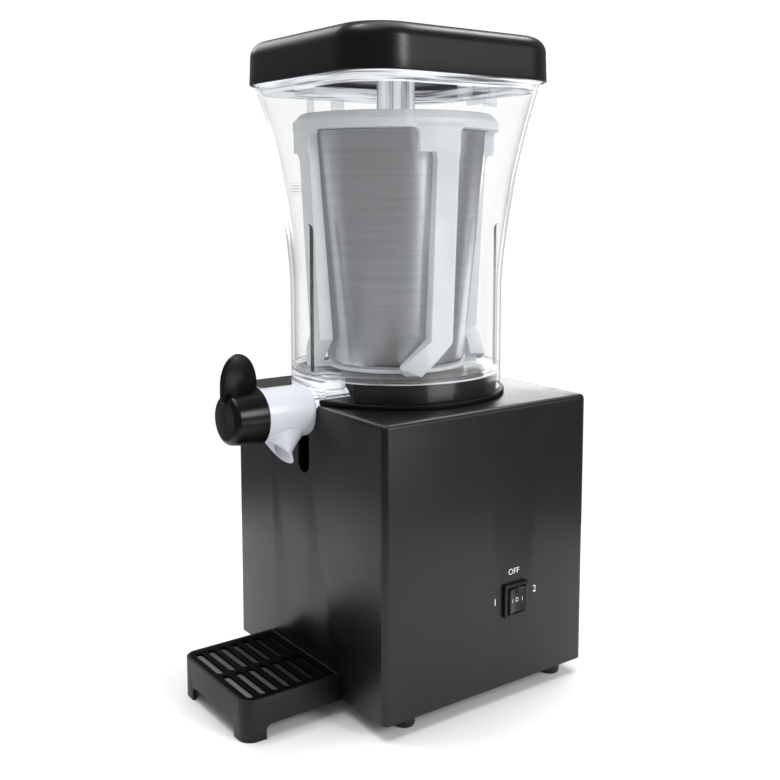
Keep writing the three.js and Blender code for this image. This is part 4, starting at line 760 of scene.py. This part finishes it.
# Ice core, its cap and the post
core = dict(low=24.2, top=197.0, lowRadius=52.3, topRadius=69.0, wall=1.6, edge=3.0, punt=17.25, roof=45.4)
cap = dict(reach=69.4, plate=3.2, skirt=64.7, skirtInner=62.2, skirtDrop=9.0, socket=17.8, socketInner=14.8,
           socketRise=8.0)
post = dict(reach=14.5, groove=1.0, grooves=12, bore=12.3)


# A cone that widens by 'slope', with a rounded foot and a deep punt, and its inside a wall away
def coreShape(low, top, lowRadius, topRadius, wall, edge, punt, roof):
    slope = (topRadius - lowRadius) / (top - low)
    foot, bend, inner = lowRadius + slope * edge, low + 12, punt + wall
    outside = [(0, roof), (punt, roof), (punt, low), (lowRadius + 0.2, low), (foot + 1.0, bend),
               (topRadius, top)]
    inside = [(topRadius - wall, top), (foot - wall + 0.9, bend), (lowRadius - wall - 0.5, low + wall),
              (inner, low + wall), (inner, roof + wall), (0, roof + wall)]
    rounding = [0, 2, 1, 3.6, 3, 0.5, 0.5, 3, 2, 1, 2, 0]
    return turned(outside + inside, rounding, 160, closed=False, arcSteps=6)


# A plate with a skirt below and a socket above, as a profile turned about the axis
def capShape(base, reach, plate, skirt, skirtInner, skirtDrop, socket, socketInner, socketRise):
    lip, top, rise = base - skirtDrop, base + plate, base + (plate + socketRise)
    corners = [(0, base), (skirtInner, base), (skirtInner, lip), (skirt - 1, lip), (skirt, base - 1.9),
               (skirt, base), (reach, base), (reach, top), (socket, top), (socket, rise), (socketInner, rise),
               (socketInner, top), (0, top)]
    rounding = [0, 0.6, 0.5, 0.5, 0.4, 0.3, 0.8, 1.0, 1.2, 0.6, 0.4, 0.3, 0]
    return turned(corners, rounding, 128, closed=False)


# A tube whose outside is fluted: reach - groove max(0, -cos(grooves a))
def postShape(low, high, reach, groove, grooves, bore):
    angle = np.linspace(0, 4 * quarter, 240, endpoint=False)
    outer = (reach - groove * np.maximum(0, -np.cos(grooves * angle)))[:, None]
    ring = onCircle(1, angle)
    outside = [(-0.5, low), (0, low + 0.5), (0, (low + high) / 2), (0, high - 0.5), (-0.5, high)]
    rows = [atHeight(ring * (outer + d), z) for d, z in outside]
    rows += [atHeight(ring * bore, z) for z in (high, low)]
    return shell(rows, closeRows=True)


capBase = nodeBox("core_cap")[1][2] - jugPlace[2] - cap["socketRise"] - cap["plate"]
postLow, postHigh = nodeBox("centre_post")
piece("coreSteelPot", [coreShape(**core)], coreSteel, "core", ["ice_core"], jugPlace)
piece("coreCapWhite", [capShape(capBase, **cap)], whitePlastic, "core_cap", ["core_cap"],
      jugPlace)
piece("postClear", [postShape(postLow[2] - jugPlace[2], postHigh[2] - jugPlace[2], **post)], clearPost, "lid",
      ["centre_post"], jugPlace, smooth=50)
print("core, cap and post made")

# Lid and its liner
lid = dict(low=233.0, half=91.0, corner=38.0, taper=0.8, side=20.5, edge=12.0, dome=2.5, wall=2.4,
           innerHalf=86.0, innerCorner=33.0, seatHalf=88.4, seatCorner=35.4, seat=236.4)
liner = dict(flangeLow=233.3, flangeTop=235.7, plug=226.0, plate=240.0, wall=2.2, clear=0.8, flange=88.0,
             flangeCorner=35.2, upper=82.0, upperCorner=29.6, plugFace=88.0)


def squareRow(half, corner, z):  # a rounded square at a height
    return atHeight(roundOutline(half, half, corner, 20, 12), z)


def poleRow(z):  # a row that falls together on the axis
    return np.tile([0.0, 0.0, z], (len(squareRow(1, 1, 0)), 1))


# Rounded squares up the side, over an edge drawn in by edge (1 - cos a) as it rises by edge sin a,
# and up a dome that rises by dome (1 - (1 - s)^2), then back down the inside
def lidShape(low, half, corner, taper, side, edge, dome, wall, innerHalf, innerCorner, seatHalf, seatCorner,
             seat):
    shoulder = low + side
    topHalf, topCorner = half - taper, corner - taper
    rows = [squareRow(half - 0.7, corner - 0.7, low), squareRow(half - 0.1, corner - 0.1, low + 0.5),
            squareRow(half, corner, low + 1.4), squareRow(topHalf + 0.4, topCorner + 0.4, shoulder - 12)]
    for angle in np.linspace(0, quarter, 12):
        draw = edge * (1 - math.cos(angle))
        rows.append(squareRow(topHalf - draw, topCorner - draw, shoulder + edge * math.sin(angle)))
    for share in np.linspace(0, 1, 12)[1:-1]:
        inward = 1 - share
        rows.append(squareRow((topHalf - edge) * inward + 0.01, (topCorner - edge) * inward + 0.005,
                              shoulder + edge + dome * (1 - inward ** 2)))
    top = shoulder + edge + dome
    rows += [poleRow(top), poleRow(top - wall - 0.6)]
    innerEdge = edge - wall
    for angle in np.linspace(quarter, 0, 6):
        draw = innerEdge * (1 - math.cos(angle))
        z = shoulder + (innerEdge - 0.6) * math.sin(angle)
        rows.append(squareRow(innerHalf - draw, innerCorner - draw, z))
    rows += [squareRow(innerHalf + 0.2, innerCorner + 0.2, seat + 0.2), squareRow(seatHalf, seatCorner, seat),
             squareRow(seatHalf + 0.2, seatCorner + 0.2, low)]
    return shell(rows, closeRows=True)


# The plug follows the jug's inside, the flange lies on its rim, and the upper part rises to the plate.
# Below hang two pairs of lugs and hooks.
def linerShape(flangeLow, flangeTop, plug, plate, wall, clear, flange, flangeCorner, upper, upperCorner,
               plugFace):
    def plugRow(z, inset, level):
        width, corner = jugSize(z)
        return squareRow(width - jug["wall"] - clear - inset, corner - jug["wall"] - clear - inset, level)

    inner, innerCorner, top = upper - wall, upperCorner - wall, plate + wall
    rows = [plugRow(plug, 0.5, plug), plugRow(plug, 0, plug + 0.6), plugRow(jug["rim"], 0, flangeLow),
            squareRow(flange, flangeCorner, flangeLow), squareRow(flange, flangeCorner, flangeTop),
            squareRow(upper, upperCorner, flangeTop), squareRow(upper, upperCorner, top), poleRow(top),
            poleRow(plate), squareRow(inner, innerCorner, plate), squareRow(inner, innerCorner, flangeLow),
            plugRow(plug, wall, plug + 0.4)]
    face = plugFace - jug["wall"] - clear - wall
    thick = 1.5
    hung = [softBlock(12, thick, 0.6, plug - 4, plug + 2, 0.4, 0, thick - face),
            softBlock(thick, 6, 0.6, plug - 8, plug + 2, 0.4, face - thick, 0),
            softBlock(thick, 3, 0.6, plug - 13, plug + 2, 0.4, face - thick, 26),
            softBlock(thick, 5.5, 0.6, plug - 13, plug - 10, 0.4, face - thick, 23.5)]
    return [shell(rows, closeRows=True)] + [moved(part, turn=side) for side in (0, 180) for part in hung]


piece("lidSatin", [lidShape(**lid)], lidBlack, "lid", ["lid_cover"], jugPlace, smooth=40)
piece("linerClear", linerShape(**liner), clearLid, "lid", ["lid_liner"], jugPlace, smooth=34)
print("lid made")

# Tap and its knob
tap = dict(radius=19.0, bore=16.0, back=0.3, length=38.0, backWall=2.5, spigot=13.2, spigotBore=10.5,
           spigotLength=14.0, spout=5.7, spoutBore=4.8, spoutWide=2.3, forward=24.2, drop=31.0, slant=49.0,
           turn=24.0, rootForward=19.6, rootLength=18.4, rootWidth=11.8, rootDrop=15.0, power=1.15)
knob = dict(start=38.6, radius=21.0, front=18.5, length=21.0, dome=6.0, stem=6.3, bore=52.6, fin=28.0,
            finLow=9.25, rise=46.0, arch=22.0, toe=4.0)


# The tube is a profile turned about its axis. The funnel is made of ellipses about a centre that moves
# forward; towards the tube they widen by ((drop - depth) / (drop - rootDrop)) ^ power.
def tapShape(radius, bore, back, length, backWall, spigot, spigotBore, spigotLength, spout, spoutBore,
             spoutWide, forward, drop, slant, turn, rootForward, rootLength, rootWidth, rootDrop, power):
    end, start, inner = back + length, back - spigotLength, back + backWall
    corners = [(spigotBore, start), (spigot, start), (spigot, back), (radius, back), (radius, end),
               (bore, end), (bore, inner), (spigotBore, inner)]
    tube = turned(corners, [0.3, 0.3, 0.3, 1.2, 0.8, 0.4, 0.3, 0.3], 96)
    angle = np.linspace(0, 4 * quarter, 64, endpoint=False)

    def ellipse(depth, reach):  # its centre, width and length
        flare = np.maximum(0, (drop - depth) / (drop - rootDrop)) ** power
        return (forward + (rootForward - forward) * flare,
                reach + spoutWide + (rootWidth - spout - spoutWide) * flare,
                reach + (rootLength - spout) * flare)

    # Where each column meets the mouth: the depth falls by tan(slant) for each step forward of its middle
    def mouthDepth(reach):
        depth = np.full(64, drop)
        for _ in range(12):
            centre, width, long = ellipse(depth, reach)
            ahead = centre + long * np.sin(angle) - forward
            depth = 0.5 * depth + 0.5 * (drop - math.tan(math.radians(slant)) * ahead)
        return depth

    def row(share, reach, mouth, flat=False):  # a share of the way to the mouth; a flat row keeps one ellipse
        depth = rootDrop + (mouth - rootDrop) * share
        centre, width, long = ellipse(np.full(64, 40.0) if flat else depth, reach)
        return np.stack([width * np.cos(angle), -depth, centre + long * np.sin(angle)], -1)

    outerMouth, innerMouth = mouthDepth(spout), mouthDepth(spoutBore)
    rows = [row(share, spout, outerMouth) for share in np.linspace(0, 0.97, 22)]
    rows += [row(1, spout - 0.4, outerMouth), row(1, spoutBore + 0.4, innerMouth)]
    rows += [row(share, spoutBore, innerMouth, flat=True) for share in (0.97, 0.6, 0.0)]
    return [tube, moved(shell(rows, closeRows=True), turn=turn)]


# The body is a profile turned about its axis: straight, then round the edge and over to a low dome.
# The upright tongue is an outline with an elliptical top, in layers that are drawn in at both faces.
def knobShape(start, radius, front, length, dome, stem, bore, fin, finLow, rise, arch, toe):
    straight = start + length
    a = np.linspace(0, quarter, 12)
    nose = np.stack([front - dome * (1 - np.cos(a)), straight + dome * 0.82 * np.sin(a)], -1)
    crown = np.stack([np.linspace(front - dome, 0, 6)[1:],
                      straight + dome * (0.82 + 0.18 * np.sin(np.linspace(0, quarter, 6)[1:]))], -1)
    side = softened([(stem, start), (radius, start), (front, straight)], [0, 1.2, 0], closed=False)
    body = lathe(np.r_[side[:-1], nose, crown, [(0, bore), (stem, bore)]], 96)
    finStart, finHalf = start + 0.3, fin / 2
    arc = np.linspace(0, 2 * quarter, 28)
    over = np.stack([finStart + finHalf + finHalf * np.cos(arc), rise - arch + arch * np.sin(arc)], -1)
    finEnd = finStart + fin
    outline = np.r_[[(finStart, finLow), (finEnd - toe, finLow), (finEnd, finLow + toe)], over]
    centre = outline.mean(0)
    away = outline - centre
    rows = []
    for x, inset in ((-2, 1.0), (-1.7, 0.35), (-1.1, 0), (1.1, 0), (1.7, 0.35), (2, 1.0)):
        drawn = centre + away * (1 - inset / np.linalg.norm(away, axis=1))[:, None]
        rows.append(np.stack([np.full(len(drawn), x), drawn[:, 1], drawn[:, 0]], -1))
    points, faces = shell(rows, capEnds=True)
    return [body, (points, [face[::-1] for face in faces])]


piece("tapWhite", tapShape(**tap), whitePlastic, "jug", ["tap_body"], tapPlace, towardFront,
      smooth=40)
piece("knobBlack", knobShape(**knob), knobBlack, "tap_knob", ["tap_knob"], tapPlace,
      towardFront, smooth=40)
print("tap made")

# Drip tray and grille
tray = dict(width=98.0, length=77.7, top=30.0, wall=2.4, corner=10.0, floorRise=12.0, floor=2.0, leg=17.0,
            arch=10.0, archRound=4.0, ledge=2.0, sunk=0.6, tongueHalf=(6.0, 5.1), tongueApart=30.0)
grille = dict(thick=3.0, gap=0.3, rows=7, columns=2, bar=4.2, sideMargin=4.3, endMargin=3.7, bridge=5.0,
              sheetLow=2.7, sheetHigh=2.1, sheetGap=1.5)


# The tray's outline: square at the housing and round in front, counter-clockwise
def trayOutline(inset):
    halfWidth, back, front = tray["width"] / 2 - inset, -inset, -tray["length"] + inset
    radius = max(tray["corner"] - inset, 2.5)
    angle = np.linspace(2 * quarter, 3 * quarter, 9)
    left = onCircle(radius, angle, -halfWidth + radius, front + radius)
    right = onCircle(radius, angle + quarter, halfWidth - radius, front + radius)
    return np.r_[[(halfWidth, back), (-halfWidth, back)], left, right]


# The outline drawn up, with the space under it, the basin, the grille's seat and an arch each way cut out
def trayShape(width, length, top, wall, floorRise, floor, leg, arch, archRound, ledge, sunk, tongueHalf,
              tongueApart, **others):
    cuts = [prism(trayOutline(wall), -3, floorRise),
            prism(trayOutline(wall + ledge), floorRise + floor, top + 3),
            prism(trayOutline(wall), top - sunk - grille["thick"], top + 3),
            faced(block(width / 2 - leg, arch, archRound, length - 6, length + 6, 6), towardFront),
            faced(block(length - leg, arch, archRound, -60, 60, 6), towardSide)]
    tongue = block(*tongueHalf, 0.4, 16, 18.6)
    tongues = [moved(tongue, side * tongueApart, 4.0) for side in (-1, 1)]
    return carved(prism(trayOutline(0), 0, top), *map(cut, cuts), *map(join, tongues))


# A plate inside the tray's wall, with rows of round-ended slots and a thin sheet that closes them below and
# carries the painted reflection seen in the slots
def grilleShape(thick, gap, rows, columns, bar, sideMargin, endMargin, bridge, sheetLow, sheetHigh, sheetGap):
    inset = tray["wall"] + gap
    slotLength = (tray["width"] - 2 * inset - bridge) / 2 - sideMargin
    pitch = (tray["length"] - 2 * inset - endMargin) / rows
    slotRound = (pitch - bar) / 2
    high = tray["top"] - 0.3
    cuts = []
    for row in range(rows):
        for column in range(columns):
            x = (column - 0.5) * (slotLength + bridge)
            y = -tray["length"] / 2 + (row - (rows - 1) / 2) * pitch
            cuts.append(block(slotLength / 2, slotRound, slotRound, high - 8, high + 4, 7, x, y))
    reflectionSheet = prism(trayOutline(inset + sheetGap), high - sheetLow, high - sheetHigh)
    return carved(prism(trayOutline(inset), high - thick, high), *map(cut, cuts), join(reflectionSheet))


piece("trayBody", [trayShape(**tray)], trayBlack, "tray", ["drip_tray"], trayPlace, smooth=36,
      bevel=0.55)
piece("trayGrille", [grilleShape(**grille)], grilleBlack, "grille", ["drip_grille"], trayPlace,
      smooth=36, bevel=0.7)
print("tray made")

# Switch
switch = dict(width=23.0, height=25.0, proud=3.0, edge=1.1, corner=1.6, innerCorner=0.8, rim=2.6, depth=16.0,
              back=2.0, wall=1.0)
rocker = dict(stand=1.8, dish=2.0, pivot=2.0, below=5.0, sideGap=0.3, endGap=0.6)


# The bezel: out from the wall, over the edge by edge sin a, and down into the opening
def bezelShape(width, height, proud, edge, corner, innerCorner, rim, depth, back, wall):
    a = np.linspace(0, quarter, 5)
    over = zip(np.r_[0, 0, edge * (1 - np.cos(a))], np.r_[0.3, proud - edge, proud - edge + edge * np.sin(a)])
    into = [(rim - 0.4, proud), (rim, proud - 0.5), (rim, back - depth), (rim - wall, back - depth),
            (rim - wall, 0.3)]
    rings = [atHeight(roundOutline(width / 2 - inset, height / 2 - inset, radius, 6, 2), z)
             for levels, radius in ((over, corner), (into, innerCorner)) for inset, z in levels]
    backHalf = (width / 2 - rim + wall, height / 2 - rim + wall)
    return [shell(rings, closeRows=True), softBlock(*backHalf, innerCorner, -depth, back - depth, 0.3)]


# A drum about the pivot, whose face is dished: lowest in the middle, rise - dish (1 - (x / end)^2)
def rockerShape(stand, dish, pivot, below, sideGap, endGap):
    radius = switch["width"] / 2 - switch["rim"] - sideGap
    halfLength = switch["height"] / 2 - switch["rim"] - endGap
    rise = pivot + stand
    endAngle, backAngle = math.asin(rise / radius), math.asin(below / radius)
    end = radius * math.cos(endAngle)
    x = np.linspace(end, -end, 15)[1:-1]
    outline = np.r_[onCircle(radius, np.linspace(-backAngle, endAngle, 8)),
                    np.stack([x, rise - dish * (1 - (x / end) ** 2)], -1),
                    onCircle(radius, np.linspace(2 * quarter - endAngle, 2 * quarter + backAngle, 8))]
    rows = [np.stack([outline[:, 0], np.full(len(outline), y), outline[:, 1] + switch["proud"] - pivot], -1)
            for y in (halfLength, -halfLength)]
    return shell(rows, capEnds=True)


piece("switchBezel", bezelShape(**switch), glossBlack, "base", ["switch_casing"], switchPlace,
      towardSide, smooth=40)
piece("switchRocker", [rockerShape(**rocker)], glossBlack, "rocker", ["switch_rocker"],
      switchPlace, towardSide, smooth=30, bevel=0.35)


# Generic words and figures as flat meshes with a little thickness, laid on the side
def sideMark(name, text, size, back, up, body, lift):
    curve = bpy.data.curves.new(name, "FONT")
    curve.body = text
    curve.size = size
    curve.align_x = "CENTER"
    curve.align_y = "CENTER"
    curve.extrude = 0.05
    source = newObject(name, curve)
    graph = bpy.context.evaluated_depsgraph_get()
    mesh = bpy.data.meshes.new_from_object(source.evaluated_get(graph))
    letters = meshArrays(mesh)
    bpy.data.objects.remove(source)
    bpy.data.curves.remove(curve)
    bpy.data.meshes.remove(mesh)
    piece(name, [letters], markWhite, body, (), switchPlace + [lift, back, up], towardSide)


sideMark("markOff", "OFF", 6.2, -1, 21, "base", 0.06)
sideMark("markOne", "1", 7.4, -19, 1, "base", 0.06)
sideMark("markTwo", "2", 7.4, 20, 3, "base", 0.06)
sideMark("rockerOne", "I", 4.4, -5, 0, "rocker", 3.66)
sideMark("rockerOff", "O", 4.4, 0, 0, "rocker", 2.82)
sideMark("rockerTwo", "II", 4.4, 5, 0, "rocker", 3.66)
print("switch made")

# Nodes kept as they are
keptFinish = [
    (housingBlack, ["bottom_plate"]),
    (rubberBlack, ["cord_gland", "plug_seal"]),
    (screwZinc, ["collar_screw_1", "collar_screw_2", "collar_screw_3", "foot_screw_front_left",
                 "foot_screw_front_right", "foot_screw_rear_left", "foot_screw_rear_right"]),
    (driveZinc, ["gearbox_case", "motor_can", "motor_bracket"]),
    (brass, ["output_bush", "switch_terminal_1", "switch_terminal_2", "switch_terminal_3"]),
    (shaftSteel, ["drive_shaft", "jug_shaft"]),
    (glossBlack, ["drive_coupler", "driven_coupler"]),
    (silicone, ["floor_seal", "outlet_seal", "core_gasket"]),
    (whitePlastic, ["tap_plug", "thrust_washer"]),
]
for finish, names in keptFinish:
    for item in [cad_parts[name] for name in names]:
        if not item.material_slots:
            item.data.materials.append(finish)
        for slot in item.material_slots:
            slot.material = finish

# Floor, lights, camera
floor = dict(radius=430.0, tone=0.86)
sky = dict(glossy=0.27, camera=0.79, diffuse=0.26)  # how bright the white round it is to each kind of ray
ringAngle = np.linspace(0, 4 * quarter, 96, endpoint=False)
floorRows = [atHeight(onCircle(r, ringAngle), -0.02) for r in floor["radius"] * np.linspace(0, 1, 5)]
floorItem = meshObject("floor", [shell(floorRows)])
f = Finish("paleFloor")
mottle = f.noise(5, detail=4)
tone = f.between(mottle, grey(floor["tone"] - 0.01), grey(floor["tone"] + 0.01))
floorItem.data.materials.append(f.done(f.shader(Base_Color=tone, Roughness=0.75 + mottle * 0.1,
                                                Normal=f.bump(f.noise(300, detail=3), 0.04, 0.1))))

world = bpy.data.worlds.new("studio")
bpy.context.scene.world = world
world.use_nodes = True
tree = world.node_tree
tree.nodes.clear()
seen = addNode(tree, "ShaderNodeLightPath", {}, {}, "Is Camera Ray")
lighting = addNode(tree, "ShaderNodeLightPath", {}, {}, "Is Diffuse Ray")
strength = sky["glossy"] + seen * sky["camera"] + lighting * sky["diffuse"]
background = addNode(tree, "ShaderNodeBackground", {}, {"Color": (1, 1, 1, 1), "Strength": strength})
addNode(tree, "ShaderNodeOutputWorld", {}, {"Surface": background})


def softbox(name, place, aim, width, height, power):  # a rectangle of light that faces a point
    data = bpy.data.lights.new(name, "AREA")
    data.shape = "RECTANGLE"
    data.size, data.size_y = width, height
    data.energy = power
    item = newObject(name, data)
    item.location = place
    away = np.array(place, float) - np.array(aim, float)
    away /= np.linalg.norm(away)
    item.rotation_euler = (math.acos(away[2]), 0, math.atan2(away[0], -away[1]))
    item.visible_camera = False


softbox("overhead", (0.0, 0.1, 2.0), (0.0, 0.1, 0.2), 1.3, 2.6, 32)
softbox("spark", (-0.40, -0.45, 1.95), (0, 0, 0.3), 0.4, 0.4, 7)
softbox("lowBack", (-0.15, 1.12, 0.10), (0, 0, 0.3), 0.7, 0.3, 0.8)
softbox("backPanel", (-1.02, 1.12, 0.52), (0, 0, 0.3), 0.6, 0.35, 3.5)
softbox("keyPanel", (1.35, 0.34, 0.85), (0, 0, 0.36), 0.34, 0.5, 10)
softbox("shoulderPanel", (-0.09, 1.0, 1.58), (0, 0, 0.45), 0.4, 0.3, 5)
softbox("rightPanel", (1.25, 1.0, 0.78), (0, 0, 0.4), 0.9, 0.5, 2.5)
softbox("leftPanel", (-1.2, -0.1, 1.1), (0, 0, 0.3), 0.6, 0.6, 4)
softbox("lowRight", (1.10, 0.29, 0.03), (0, 0, 0.3), 0.62, 0.3, 1.7)
softbox("lowLeft", (-0.70, -0.95, 0.06), (0, 0, 0.3), 0.4, 0.3, 0.25)

view = dict(place=(0.65195, -0.45428, 0.37613), downDegrees=6.663, turn=0.9420, lens=48.705, shift=-0.10)
cameraData = bpy.data.cameras.new("photoCamera")
camera = newObject("photoCamera", cameraData)
cameraData.sensor_width = 36
cameraData.lens = view["lens"]
cameraData.shift_y = view["shift"]
cameraData.clip_start = 0.01
camera.location = view["place"]
camera.rotation_euler = (quarter - math.radians(view["downDegrees"]), 0, view["turn"])
bpy.context.scene.camera = camera
bpy.context.scene.view_settings.view_transform = "Standard"
print("stage made")
